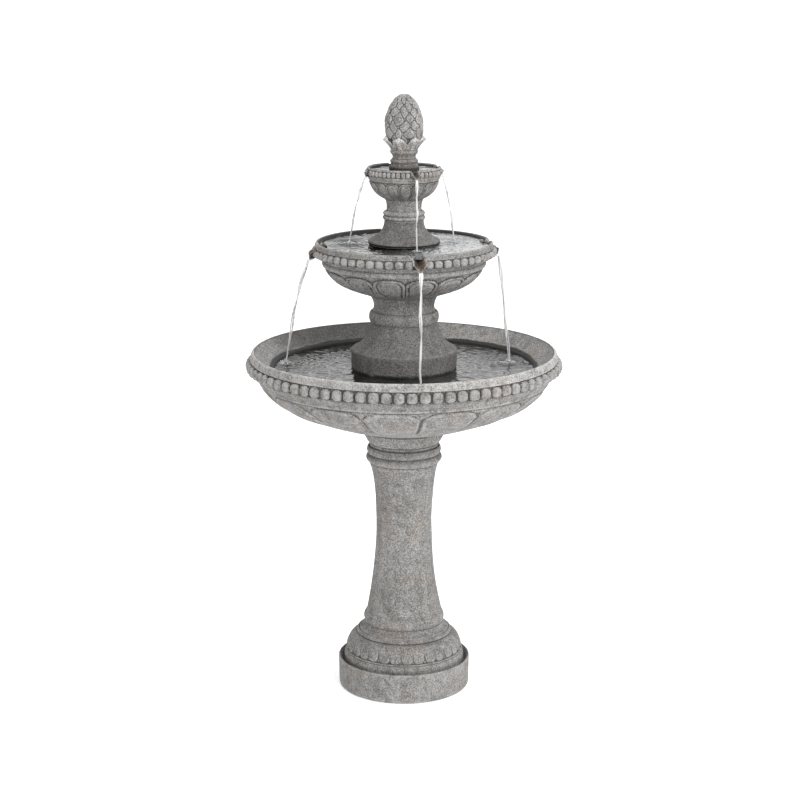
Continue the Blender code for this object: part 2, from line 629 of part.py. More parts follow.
def build():
    stone = finish_material("cast_stone", (0.30, 0.29, 0.275), 0.85)
    wet_stone = finish_material("wet_spout", (0.10, 0.085, 0.07), 0.35)
    plastic = finish_material("black_plastic", (0.02, 0.02, 0.022), 0.45)
    rubber = finish_material("black_rubber", (0.03, 0.03, 0.03), 0.7)
    magnet = finish_material("ferrite", (0.06, 0.06, 0.065), 0.5, 0.3)
    ceramic = finish_material("white_ceramic", (0.8, 0.8, 0.78), 0.25)

    base_body = group("base_body")
    foot_body = group("foot_body", parent=base_body)
    column_body = group("column_body", parent=foot_body)
    basin_body = group("bottom_bowl_body", parent=column_body)
    lower_riser_body = group("lower_riser_body", parent=basin_body)
    dish_body = group("middle_bowl_body", parent=lower_riser_body)
    upper_riser_body = group("upper_riser_body", parent=dish_body)
    cup_body = group("top_bowl_body", parent=upper_riser_body)
    finial_body = group("finial_body", parent=cup_body)
    facing_front = (math.pi / 2, 0, 0)
    pump_body = group("pump_body", (0, 0, PUMP_AXIS_HEIGHT), facing_front, basin_body)
    cover_body = group("pump_cover_body", parent=pump_body)
    dial_body = group("flow_dial_body", parent=cover_body)
    rotor_body = group("rotor_body", parent=pump_body)

    base_plinth(base_body, stone)
    foot(foot_body, stone)
    column(column_body, stone)
    bottom_bowl(basin_body, stone)
    cord_stopper(basin_body, rubber)
    lower_riser(lower_riser_body, stone)
    middle_bowl(dish_body, stone, wet_stone)
    upper_riser(upper_riser_body, stone)
    top_bowl(cup_body, stone, wet_stone)
    finial(finial_body, stone)

    bulkhead("middle", DISH_FLOOR, DISH_FLOOR - 0.9140 + 0.0020, 0.0260, 0.0420, 0.0090,
             dish_body, plastic, rubber)
    bulkhead("top", CUP_FLOOR, CUP_FLOOR - 1.1360 + 0.0020, 0.0100, 0.0420, 0.0070,
             cup_body, plastic, rubber)
    hose("lower_hose", OUTLET_TOP + 0.0045, 0.8990, dish_body, rubber)
    hose("upper_hose", DISH_FLOOR + 0.0060, 1.1210, cup_body, rubber)

    pump_casing(pump_body, plastic)
    cord_gland(pump_body, rubber)
    pump_volute(pump_body, plastic)
    impeller_cover(pump_body, plastic)
    pump_front_cover(cover_body, plastic)
    flow_dial(dial_body, plastic)
    impeller(rotor_body, plastic)
    rotor_magnet(rotor_body, magnet)
    shaft_and_bushes(pump_body, ceramic, rubber)
    outlet_adapter(basin_body, plastic)
    suction_cups(basin_body, rubber)


build()
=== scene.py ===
"""Looks of the three-tier garden fountain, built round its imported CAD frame.

Every cast piece is a dense turned mesh whose outline keeps within a few mm of the CAD piece's, with
its carving (beads, petals, gadroons, cone scales, leaves) as real relief. Metres, +Z up, front is
-Y. Angles go round from the front towards +X.
"""
import math

import bmesh
import bpy
import numpy as np
from mathutils import Matrix, Vector


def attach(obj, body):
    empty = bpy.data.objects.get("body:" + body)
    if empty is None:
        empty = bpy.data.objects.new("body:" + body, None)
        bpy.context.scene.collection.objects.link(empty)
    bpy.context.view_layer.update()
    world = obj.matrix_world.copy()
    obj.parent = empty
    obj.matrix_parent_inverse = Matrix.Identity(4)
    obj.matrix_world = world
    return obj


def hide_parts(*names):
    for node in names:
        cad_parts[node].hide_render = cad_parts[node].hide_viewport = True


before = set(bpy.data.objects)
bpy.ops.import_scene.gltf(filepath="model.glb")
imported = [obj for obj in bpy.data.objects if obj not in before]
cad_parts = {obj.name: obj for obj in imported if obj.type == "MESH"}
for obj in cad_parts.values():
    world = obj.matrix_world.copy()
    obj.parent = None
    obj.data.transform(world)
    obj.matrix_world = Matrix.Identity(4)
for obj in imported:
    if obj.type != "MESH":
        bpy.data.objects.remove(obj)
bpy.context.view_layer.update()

TURN = 2 * math.pi

# spacing of the rows of points along an outline
FINE = 0.0016
MEDIUM = 0.003
COARSE = 0.008

# how far a point lies below its softened surroundings, close by and wider, to count as a hollow
NEAR_PASSES, NEAR_HOLLOW = 2, 0.00045
FAR_PASSES, FAR_HOLLOW = 9, 0.0022

GAP_DEPTH = 0.0012  # of the gaps between beads, below the band that they stand on
NOTCH_ROOM = 0.0006  # between a spout and the notch that it is set in

# the bowls, bottom to top, are called basin, dish and cup
SPOUT_COUNT = 4
SPOUT_SLOPE = math.radians(24.0)
DISH_SPOUT_TURN = math.radians(9.5)
DISH_SPOUT_SPOT = (0.196, 1.018)  # reach from the axis and height of a spout's middle
DISH_SPOUT_SIZE = (0.015, 0.019)  # half width and depth of a spout
CUP_SPOUT_TURN = math.radians(18.0)
CUP_SPOUT_SPOT = (0.082, 1.188)
CUP_SPOUT_SIZE = (0.009, 0.012)

BASIN_WATER = 0.744
DISH_WATER = 1.0215
CUP_WATER = 1.1885

# the CAD nodes that stay and show when the fountain is taken apart, by what they are made of
HARD_PLASTIC = ("pump_casing", "pump_volute", "impeller_cover", "pump_front_cover", "flow_dial",
                "impeller", "outlet_adapter", "middle_fitting", "middle_locknut", "top_fitting",
                "top_locknut")
RUBBERS = ("cord_stopper", "cord_gland", "middle_gasket", "top_gasket", "lower_hose", "upper_hose",
           "rear_bush", "front_bush", "suction_cup_1", "suction_cup_2", "suction_cup_3",
           "suction_cup_4")


# ---- materials ----

class Nodes:
    """A node tree, added to node by node."""

    def __init__(self, tree):
        self.tree = tree

    def feed(self, socket, value):
        if isinstance(value, bpy.types.NodeSocket):
            self.tree.links.new(value, socket)
        else:
            socket.default_value = value

    def node(self, kind, inputs, **settings):
        node = self.tree.nodes.new(kind)
        for key, value in settings.items():
            setattr(node, key, value)
        for key, value in inputs.items():
            self.feed(node.inputs[key], value)
        return node

    def math(self, operation, first, second):
        node = self.node("ShaderNodeMath", {}, operation=operation)
        self.feed(node.inputs[0], first)
        self.feed(node.inputs[1], second)
        return node.outputs[0]


class Finish(Nodes):
    """A procedural material in the object's own coordinates."""

    def __init__(self, name):
        self.material = bpy.data.materials.new(name)
        self.material.use_nodes = True
        super().__init__(self.material.node_tree)
        self.shader = self.tree.nodes["Principled BSDF"]
        self.place = self.tree.nodes.new("ShaderNodeTexCoord").outputs["Object"]

    def stretched(self, scale):
        inputs = {"Vector": self.place, "Scale": scale}
        return self.node("ShaderNodeMapping", inputs).outputs["Vector"]

    def noise(self, scale, detail=4.0, roughness=0.6, place=None, distortion=0.0):
        inputs = {"Vector": place or self.place, "Scale": scale, "Detail": detail,
                  "Roughness": roughness, "Distortion": distortion}
        return self.node("ShaderNodeTexNoise", inputs).outputs["Fac"]

    def cells(self, scale, feature="F1"):
        inputs = {"Vector": self.place, "Scale": scale}
        return self.node("ShaderNodeTexVoronoi", inputs, feature=feature).outputs["Distance"]

    def attribute(self, name):
        return self.node("ShaderNodeAttribute", {}, attribute_name=name).outputs["Fac"]

    def span(self, value, low, high, to_low=0.0, to_high=1.0):
        """Value from low to high eased into to_low to to_high."""
        inputs = {"Value": value, "From Min": low, "From Max": high, "To Min": to_low,
                  "To Max": to_high}
        node = self.node("ShaderNodeMapRange", inputs, interpolation_type="SMOOTHSTEP")
        return node.outputs["Result"]

    def mix(self, factor, first, second, blend="MIX"):
        node = self.node("ShaderNodeMix", {}, data_type="RGBA", blend_type=blend)
        self.feed(node.inputs[0], factor)
        self.feed(node.inputs[6], first)
        self.feed(node.inputs[7], second)
        return node.outputs[2]

    def grey(self, value):
        """A number as a colour, for multiplying another colour."""
        node = self.node("ShaderNodeCombineColor", {"Red": value, "Green": value, "Blue": value})
        return node.outputs["Color"]

    def shaded(self, colour, value):
        """The colour multiplied by a number."""
        return self.mix(1.0, colour, self.grey(value), "MULTIPLY")

    def bump(self, height, strength, distance, normal=None):
        inputs = {"Height": height, "Strength": strength, "Distance": distance}
        if normal:
            inputs["Normal"] = normal
        return self.node("ShaderNodeBump", inputs).outputs["Normal"]

    def surface(self, **inputs):
        for key, value in inputs.items():
            self.feed(self.shader.inputs[key.replace("_", " ")], value)


def cast_stone():
    """Grey cast stone: blotches, mottling and grain, painted shade and grime in its hollows, pale
    worn edges.

    The attribute wet_and_painted_light runs from 1, dark with wetness and painted shade, to -1,
    lighter with painted light.
    """
    stone = Finish("cast_stone")
    blotch = stone.noise(6.5, 3.0, 0.55)
    tint = stone.noise(13.0, 3.0, 0.6, distortion=0.4)
    mottle = stone.noise(58.0, 6.0, 0.74)
    grain = stone.noise(330.0, 3.0, 0.8)
    specks = stone.cells(420.0)
    drips = stone.noise(1.0, 4.0, 0.6, stone.stretched((46.0, 46.0, 5.0)))
    hollow = stone.attribute("hollow")
    wet_and_painted_light = stone.attribute("wet_and_painted_light")

    colour = stone.mix(stone.span(mottle, 0.34, 0.66), (0.16, 0.154, 0.148, 1),
                       (0.262, 0.256, 0.249, 1))
    colour = stone.mix(stone.span(blotch, 0.42, 0.68, 0.0, 0.45), colour, (0.298, 0.294, 0.29, 1))
    colour = stone.mix(stone.span(tint, 0.5, 0.72, 0.0, 0.6), colour, (0.222, 0.19, 0.166, 1))
    colour = stone.shaded(colour, stone.span(drips, 0.3, 0.62, 0.88, 1.06))
    colour = stone.shaded(colour, stone.span(grain, 0.36, 0.64, 0.5, 1.56))
    colour = stone.shaded(colour, stone.span(specks, 0.05, 0.3, 0.7, 1.0))
    worn = stone.math("MULTIPLY", stone.span(hollow, 0.47, 0.2, 0.0, 0.5),
                      stone.span(mottle, 0.34, 0.58))
    colour = stone.mix(worn, colour, (0.4, 0.392, 0.38, 1))
    # painted shade: hollows and clefts darkened nearly to black, standing in for their shadow, with
    # some grime
    shade_and_grime = stone.math("MULTIPLY", stone.span(hollow, 0.54, 0.87, 0.0, 0.8),
                        stone.span(mottle, 0.34, 0.58, 0.4, 1.0))
    colour = stone.mix(shade_and_grime, colour, (0.022, 0.02, 0.018, 1))
    # wetness darkens the stone; where a piece sets this attribute for painted shade (under the
    # bowls, at inner rim edges, on back walls) the darkening is painted shade
    darkening = stone.math("MULTIPLY", wet_and_painted_light, stone.span(mottle, 0.3, 0.55, 0.8, 1.0))
    colour = stone.shaded(colour, stone.span(darkening, 0.0, 1.0, 1.0, 0.07))
    # painted light: negative values lighten the stone, standing in for lit rim tops, collars and
    # leaves
    colour = stone.shaded(colour, stone.span(wet_and_painted_light, 0.0, -1.0, 1.0, 1.75))

    pits = stone.span(specks, 0.0, 0.34)
    normal = stone.bump(grain, 0.55, 0.0012)
    normal = stone.bump(pits, 0.35, 0.0007, normal)
    normal = stone.bump(mottle, 0.5, 0.003, normal)
    rough = stone.math("SUBTRACT", stone.span(grain, 0.3, 0.7, 0.94, 0.78),
                       stone.span(wet_and_painted_light, 0.0, 1.0, 0.0, 0.26))
    stone.surface(Base_Color=colour, Roughness=rough, Normal=normal, Specular_IOR_Level=0.25)
    return stone.material


def spout_stone():
    """Wet, iron-brown stone of the spouts, with pale crust along the edges."""
    stone = Finish("spout_stone")
    mottle = stone.noise(120.0, 5.0, 0.7)
    tint = stone.noise(40.0, 3.0, 0.6)
    hollow = stone.attribute("hollow")
    colour = stone.mix(stone.span(mottle, 0.32, 0.68), (0.024, 0.02, 0.017, 1),
                       (0.105, 0.088, 0.072, 1))
    colour = stone.mix(stone.span(tint, 0.48, 0.7, 0.0, 0.6), colour, (0.13, 0.094, 0.066, 1))
    crust = stone.math("MULTIPLY", stone.span(hollow, 0.45, 0.15), stone.span(mottle, 0.38, 0.6))
    colour = stone.mix(crust, colour, (0.27, 0.245, 0.22, 1))
    normal = stone.bump(mottle, 0.6, 0.0016)
    rough = stone.span(mottle, 0.3, 0.7, 0.18, 0.46)
    stone.surface(Base_Color=colour, Roughness=rough, Normal=normal, Coat_Weight=0.35,
                  Coat_Roughness=0.12)
    return stone.material


def pool_water():
    """Rippled water over dark stone: nearly black, with white froth where its attribute
    wet_and_painted_light is high: froth where the streams land, painted reflection on the right.
    """
    water = Finish("pool_water")
    ripple = water.noise(60.0, 2.0, 0.5, distortion=0.6)
    depth = water.noise(9.0, 2.0, 0.5)
    froth = water.noise(130.0, 4.0, 0.7)
    colour = water.mix(water.span(depth, 0.35, 0.7), (0.004, 0.004, 0.004, 1),
                       (0.014, 0.014, 0.013, 1))
    # white froth where the streams land, and painted reflection over the right side of the pool
    foam_and_sheen = water.math("MULTIPLY", water.attribute("wet_and_painted_light"), water.span(froth, 0.38, 0.58, 0.2, 1.0))
    colour = water.mix(foam_and_sheen, colour, (0.66, 0.67, 0.68, 1))
    normal = water.bump(ripple, 0.4, 0.0014)
    rough = water.span(ripple, 0.3, 0.7, 0.01, 0.05)
    water.surface(Base_Color=colour, Roughness=rough, Normal=normal, IOR=1.42)
    return water.material


def falling_water():
    """Aerated water: clear, with streaks of froth."""
    water = Finish("falling_water")
    foam_and_sheen = water.noise(1.0, 3.0, 0.6, water.stretched((300.0, 300.0, 24.0)))
    colour = water.mix(water.span(foam_and_sheen, 0.35, 0.65), (0.72, 0.73, 0.74, 1), (0.88, 0.885, 0.89, 1))
    normal = water.bump(foam_and_sheen, 0.4, 0.0008)
    water.surface(Base_Color=colour, Roughness=water.span(foam_and_sheen, 0.3, 0.7, 0.06, 0.3),
                  Normal=normal, Transmission_Weight=water.span(foam_and_sheen, 0.34, 0.66, 0.34, 0.06),
                  IOR=1.333)
    return water.material


def moulded(name, dark, light, roughness, pebble, coat=0.0):
    """Moulded or fired part: faint flow marks, fine grain, dust in places."""
    skin = Finish(name)
    flow = skin.noise(60.0, 3.0, 0.6)
    grain = skin.noise(pebble, 3.0, 0.6)
    dust = skin.noise(24.0, 4.0, 0.7)
    colour = skin.mix(skin.span(flow, 0.3, 0.7), (*dark, 1), (*light, 1))
    colour = skin.mix(skin.span(dust, 0.55, 0.8, 0.0, 0.25), colour, (0.25, 0.24, 0.22, 1))
    normal = skin.bump(grain, 0.25, 0.0003)
    rough = skin.span(flow, 0.3, 0.7, roughness - 0.08, roughness + 0.08)
    skin.surface(Base_Color=colour, Roughness=rough, Normal=normal, Coat_Weight=coat)
    return skin.material


# ---- outlines: arrays of (radius, height), each without its last point ----

def bend(start, control, end, spacing=FINE):
    legs = math.dist(start, control) + math.dist(control, end) + math.dist(start, end)
    count = max(2, round(legs / 2 / spacing))
    t = np.arange(count)[:, None] / count
    start, control, end = (np.array(point) for point in (start, control, end))
    return (1 - t) ** 2 * start + 2 * t * (1 - t) * control + t * t * end


def line(start, end, spacing=MEDIUM):
    middle = tuple((s + e) / 2 for s, e in zip(start, end))
    return bend(start, middle, end, spacing)


def bulge(start, end, depth, spacing=FINE):
    """A stretch that swells outwards between two points by the given depth."""
    middle = ((start[0] + end[0]) / 2 + 2 * depth, (start[1] + end[1]) / 2)
    return bend(start, middle, end, spacing)


def path(*points, spacing=MEDIUM):
    return np.concatenate([line(a, b, spacing) for a, b in zip(points, points[1:])])


def join(*stretches):
    return np.concatenate(stretches)


# ---- reliefs ----
# each is a function of the angle, the share v and the distance d along a stretch, and its outline

def ease(value, low, high):
    """0 below low, 1 above high, smooth between; low may be the larger one."""
    t = np.clip((value - low) / (high - low), 0.0, 1.0)
    return t * t * (3 - 2 * t)


def wobble(angle, height):
    """The slight unevenness of a hand-finished casting."""
    waves = np.sin(2 * angle + 31 * height) + np.sin(3 * angle + 1.3 + 57 * height)
    waves = waves + 0.7 * np.sin(7 * angle + 2.1 - 83 * height)
    waves = waves + 0.5 * np.sin(13 * angle + 140 * height)
    return 0.00022 * waves / 2


def cells_round(angle, count, first):
    """Place across each of the equal cells round the axis, from -1 to 1, and the cell's number."""
    turns = (angle - first) * count / TURN
    number = np.floor(turns)
    return 2 * (turns - number) - 1, number.astype(int) % count


def bead_row(count, stand, first, seed):
    """Rounded-square pillows, uneven in size and place, with a narrow gap all round each."""
    chance = np.random.default_rng(seed)
    width = 0.885 + chance.uniform(-0.03, 0.035, count)
    tall = 0.95 + chance.uniform(-0.05, 0.04, count)
    shift = chance.uniform(-0.03, 0.03, count)
    height = stand * (1 - chance.uniform(0.0, 0.1, count))

    def relief(angle, v, d, outline):
        across, number = cells_round(angle, count, first)
        side = np.abs((across - shift[number]) / width[number])
        level = np.abs((2 * v - 1) / tall[number])
        body = np.clip(1 - side ** 2.7 - level ** 3.0, 0.0, 1.0) ** 0.5
        return height[number] * body - GAP_DEPTH * (1 - body)
    return relief


def bead_columns(count, first):
    """Angles of a bowl's columns of points, closer together in the gaps between its beads."""
    across = np.array((-1.0, -0.93, -0.85, -0.7, -0.38, 0.0, 0.38, 0.7, 0.85, 0.93))
    cells = np.arange(count)[:, None] + (across[None, :] + 1) / 2
    return np.sort((first + cells.ravel() * TURN / count) % TURN)


def melon_petals(count, arch, first):
    """Broad petals, barely raised, with flat-arched tops that meet in short grooves."""
    def relief(angle, v, d, outline):
        across, number = cells_round(angle, count, first)
        side = np.abs(across)
        top = arch * (1 - (1 - np.clip(side, 0, 1) ** 4.2) ** 0.75)
        half = outline[:, :1] * (math.pi / count)
        slope = arch * 3.0 * side ** 3.2 / half
        inside = (d - 0.0015 - top) / np.sqrt(1 + slope ** 2)
        fade = ease(d, 0.11, 0.055)
        edge = (1 - side) * half
        uneven = 0.7 + 0.3 * np.sin(5.0 * angle + 1.7 * number)
        raised = ease(inside, -0.0022, 0.007)
        crease = -0.0005 * uneven * np.exp(-((inside - 0.0004) / 0.002) ** 2)
        groove = -0.0026 * np.exp(-(edge / 0.004) ** 1.5) * fade
        crown = -0.005 * side ** 3.0 * ease(d, 0.15, 0.09) * ease(d, 0.012, 0.05)
        return (raised - 1) * 0.0028 * (0.6 + 0.4 * uneven) + (groove + crown) * raised + crease
    return relief


def egg_petals(count, start, arch, first, unit, depth, end):
    """Petals with a raised rim, a groove inside it and an egg standing in the middle.

    They start at a distance along the stretch, end at another, and unit is the width of a rim.
    """
    def relief(angle, v, d, outline):
        across, _ = cells_round(angle, count, first)
        side = np.abs(across)
        half = outline[:, :1] * (math.pi / count)
        below = np.clip(1 - (d - start) / arch, 0.0, 1.3)
        reach = (side ** 2.5 + below ** 2.5) ** 0.4
        edge = (1 - reach) * half
        fade = ease(d, end, end * 0.72)
        outer = ease(edge, -0.1 * unit, 0.55 * unit)
        round_rim = -0.1 * depth * (1 - np.sin(np.clip(edge / (2.2 * unit), 0, 1) * math.pi))
        groove = ease(edge, 1.9 * unit, 2.35 * unit)
        egg = 1 - np.exp(-np.clip(edge - 2.5 * unit, 0, None) / (1.5 * unit))
        rise = (outer - 1) * depth + outer * (groove * (0.72 * depth * (egg - 1)) + round_rim)
        return rise * fade
    return relief


def gadroons(count, depth, first):
    """Tongues that swell downwards to half-round tips, with clefts low between them."""
    def relief(angle, v, d, outline):
        across, number = cells_round(angle, count, first)
        side = np.abs(across + 0.1 * np.sin(2.4 * number))
        tip = np.clip((v - 0.7) / 0.26, 0.0, 2.0)
        reach = np.sqrt(side ** 2 + tip ** 2)
        body = np.clip(1 - reach ** 3.2, 0.0, 1.0) ** 0.55
        grown = ease(v, 0.3, 0.86)
        below = ease(v, 0.995, 0.93)
        return depth * (body - 1) * grown * below
    return relief


def cone_scales(count, rows, depth, seed):
    """Worn scales in crossing spirals, each a rounded diamond of its own height."""
    chance = np.random.default_rng(seed)
    heights = chance.uniform(-0.16, 0.2, (97, 89))

    def relief(angle, v, d, outline):
        warp_a = 0.1 * np.sin(3 * angle + 9 * v) + 0.07 * np.sin(7 * angle - 15 * v + 1)
        warp_b = 0.09 * np.sin(4 * angle - 8 * v + 2) + 0.07 * np.sin(6 * angle + 17 * v)
        a = count * angle / TURN + rows * v ** 0.92 + warp_a
        b = count * angle / TURN - rows * v ** 0.92 + warp_b
        cell_a, cell_b = np.floor(a), np.floor(b)
        a, b = a - cell_a, b - cell_b
        own = heights[cell_a.astype(int) % count, cell_b.astype(int) % count]
        reach = (np.abs(2 * a - 1) ** 2.6 + np.abs(2 * b - 1) ** 2.6) ** (1 / 2.6)
        edge = np.clip(1.08 - reach, 0.0, 1.0)
        lower = (a + 1 - b) / 2
        raised = ease(edge, 0.0, 0.28)
        peak = np.clip(edge, 0, 1) ** 0.7
        shape = raised * (0.7 + 0.3 * peak + own + 0.3 * (lower - 0.5)) - 1.0
        return depth * shape * ease(v, 0.0, 0.1)
    return relief


def ridges(count, depth):
    """Shallow upright flutes."""
    def relief(angle, v, d, outline):
        return -depth * np.abs(np.sin(angle * count / 2)) ** 0.6 * np.sin(math.pi * v)
    return relief


# ---- meshes ----

def round_axis(radius, angle, height):
    return np.stack((radius * np.sin(angle), -radius * np.cos(angle), height), -1)


def softened(grid, passes, closed):
    """The grid of points averaged with its neighbours, round the axis and along the outline."""
    for _ in range(passes):
        grid = (np.roll(grid, 1, 1) + 2 * grid + np.roll(grid, -1, 1)) / 4
        before = np.roll(grid, 1, 0)
        after = np.roll(grid, -1, 0)
        if not closed:
            before[0], after[-1] = grid[0], grid[-1]
        grid = (before + 2 * grid + after) / 4
    return grid


def new_object(name, mesh, material):
    mesh.materials.append(material)
    piece = bpy.data.objects.new(name, mesh)
    bpy.context.scene.collection.objects.link(piece)
    return piece


def set_number(mesh, name, values):
    mesh.attributes.new(name, "FLOAT", "POINT").data.foreach_set("value", np.ravel(values))


def grid_faces(rows, columns, ring_rows, ring_columns=True):
    """Quads of a grid numbered row by row; in a ring the last row or column meets the first."""
    i = np.arange(rows if ring_rows else rows - 1)[:, None]
    j = np.arange(columns if ring_columns else columns - 1)[None, :]
    below, beside = (i + 1) % rows, (j + 1) % columns
    corners = (i * columns + j, below * columns + j, below * columns + beside, i * columns + beside)
    return np.stack(corners, -1).reshape(-1, 4)


def mesh_of(name, points, faces):
    mesh = bpy.data.meshes.new(name)
    mesh.from_pydata(points, [], faces)
    return mesh


def reworked(mesh, change):
    """Change a mesh as a bmesh."""
    shape = bmesh.new()
    shape.from_mesh(mesh)
    change(shape)
    shape.to_mesh(mesh)
    shape.free()


def weld(shape):
    bmesh.ops.remove_doubles(shape, verts=shape.verts, dist=0.000001)


def face_outwards(shape):
    bmesh.ops.recalc_face_normals(shape, faces=shape.faces)


def smooth(mesh, sharpest):
    """Smooth shading, except over edges sharper than an angle in degrees."""
    mesh.shade_smooth()
    mesh.set_sharp_from_angle(angle=math.radians(sharpest))


def turned(name, sections, columns, material, reliefs=None, closed=True, wetness_and_painted_light=None, uneven=True):
    """Turn named stretches of outline about Z, carved by a relief for each stretch that has one.

    columns is the number of even columns of points, or the angles of uneven ones. The attribute
    hollow runs from 0 on edges over 0.5 to 1 in clefts; wetness_and_painted_light gives the
    attribute wet_and_painted_light: wetness, with painted shade and painted light in places.
    """
    outline = np.concatenate([points for _, points in sections])
    angle = np.arange(columns) * TURN / columns if isinstance(columns, int) else columns
    segments = len(angle)
    angle = angle[None, :]
    before, after = np.roll(outline, 1, 0), np.roll(outline, -1, 0)
    if not closed:
        before[0], after[-1] = outline[0], outline[-1]
    along = after - before
    along /= np.linalg.norm(along, axis=1, keepdims=True)
    normal = np.stack((-along[:, 1], along[:, 0]), 1)
    radius = np.repeat(outline[:, :1], segments, 1)
    height = np.repeat(outline[:, 1:], segments, 1)
    wet_and_painted_light = np.zeros_like(radius)
    first = 0
    for label, points in sections:
        rows = slice(first, first + len(points))
        first += len(points)
        steps = np.linalg.norm(np.diff(points, axis=0), axis=1)
        d = np.concatenate(([0.0], np.cumsum(steps)))[:, None]
        v = d / (d[-1] + steps[-1])
        rise = np.zeros((len(points), segments))
        if uneven and not label.startswith("inside"):
            rise = rise + wobble(angle, points[:, 1:])
        if reliefs and label in reliefs:
            rise = rise + reliefs[label](angle, v, d, points)
        radius[rows] += normal[rows, :1] * rise
        height[rows] += normal[rows, 1:] * rise
        if wetness_and_painted_light:
            wet_and_painted_light[rows] = wetness_and_painted_light(label, angle, points[:, :1], points[:, 1:])
    radius = np.maximum(radius, 0.0)
    points = round_axis(radius, angle, height)
    facing = round_axis(normal[:, :1], angle, np.repeat(normal[:, 1:], segments, 1))
    near = np.sum((softened(points, NEAR_PASSES, closed) - points) * facing, -1)
    far = np.sum((softened(points, FAR_PASSES, closed) - points) * facing, -1)
    hollow = 0.5 + 0.5 * np.tanh(near / NEAR_HOLLOW + far / FAR_HOLLOW)
    faces = grid_faces(len(outline), segments, closed)
    mesh = mesh_of(name, points.reshape(-1, 3).tolist(), faces.tolist())
    set_number(mesh, "hollow", hollow)
    set_number(mesh, "wet_and_painted_light", wet_and_painted_light)
    if not closed:
        reworked(mesh, weld)
    smooth(mesh, 50)
    return new_object(name, mesh, material)


def settle(piece, body, slot, *nodes):
    """Let a finished piece stand for its CAD nodes and ride on their body."""
    if nodes:
        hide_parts(*nodes)
    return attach(piece, body)


def apply_modifiers(piece):
    bpy.context.view_layer.update()
    evaluated = piece.evaluated_get(bpy.context.evaluated_depsgraph_get())
    mesh = bpy.data.meshes.new_from_object(evaluated)
    old = piece.data
    piece.modifiers.clear()
    piece.data = mesh
    bpy.data.meshes.remove(old)
    mesh.name = piece.name


def joined(name, shapes, material):
    """One object made of several (points, faces) meshes."""
    points, faces, first = [], [], 0
    for shape_points, shape_faces in shapes:
        points.append(np.asarray(shape_points, float))
        faces += [[first + i for i in face] for face in shape_faces]
        first += len(shape_points)
    mesh = mesh_of(name, np.concatenate(points).tolist(), faces)
    mesh.shade_smooth()
    return new_object(name, mesh, material)


def box_shape(low, high, turn=0.0):
    """Points and faces of a box, turned about Z."""
    around = Matrix.Rotation(turn, 3, "Z")
    points = [tuple(around @ Vector((x, y, z)))
              for x in (low[0], high[0]) for y in (low[1], high[1]) for z in (low[2], high[2])]
    faces = [(0, 1, 3, 2), (4, 6, 7, 5), (0, 4, 5, 1), (2, 3, 7, 6), (0, 2, 6, 4), (1, 5, 7, 3)]
    return points, faces


def cut_away(piece, shapes):
    """Cut closed (points, faces) shapes out of a piece."""
    cutter = joined(piece.name + "_cutter", shapes, piece.data.materials[0])
    reworked(cutter.data, face_outwards)
    modifier = piece.modifiers.new("cut", "BOOLEAN")
    modifier.operation = "DIFFERENCE"
    modifier.solver = "EXACT"
    modifier.object = cutter
    apply_modifiers(piece)
    bpy.data.objects.remove(cutter)


# ---- spouts ----

def spout_turn(first_turn, n):
    return first_turn + n * TURN / SPOUT_COUNT


def spout_place(turn, reach, height):
    """Frame of a spout: X along its flow, outwards and down; Z away from its floor."""
    around = Matrix.Rotation(turn - math.pi / 2, 4, "Z")
    return around @ Matrix.Translation((reach, 0, height)) @ Matrix.Rotation(SPOUT_SLOPE, 4, "Y")


def notch_shape(place, half_width, depth, length):
    """The wedge that a spout's notch is cut with, open well above the rim."""
    half_width, depth = half_width + NOTCH_ROOM, depth + NOTCH_ROOM
    rise = 0.03
    spread = rise * half_width / depth
    across = [(-half_width - spread, rise), (0.0, -depth), (half_width + spread, rise)]
    points = [place @ Vector((x, y, z)) for x in (-length, length) for y, z in across]
    faces = [(0, 1, 2), (5, 4, 3), (0, 3, 4, 1), (1, 4, 5, 2), (2, 5, 3, 0)]
    return [tuple(point) for point in points], faces


def cut_notches(bowl, first_turn, spot, size, length):
    cut_away(bowl, [notch_shape(spout_place(spout_turn(first_turn, n), *spot), *size, length)
                    for n in range(SPOUT_COUNT)])


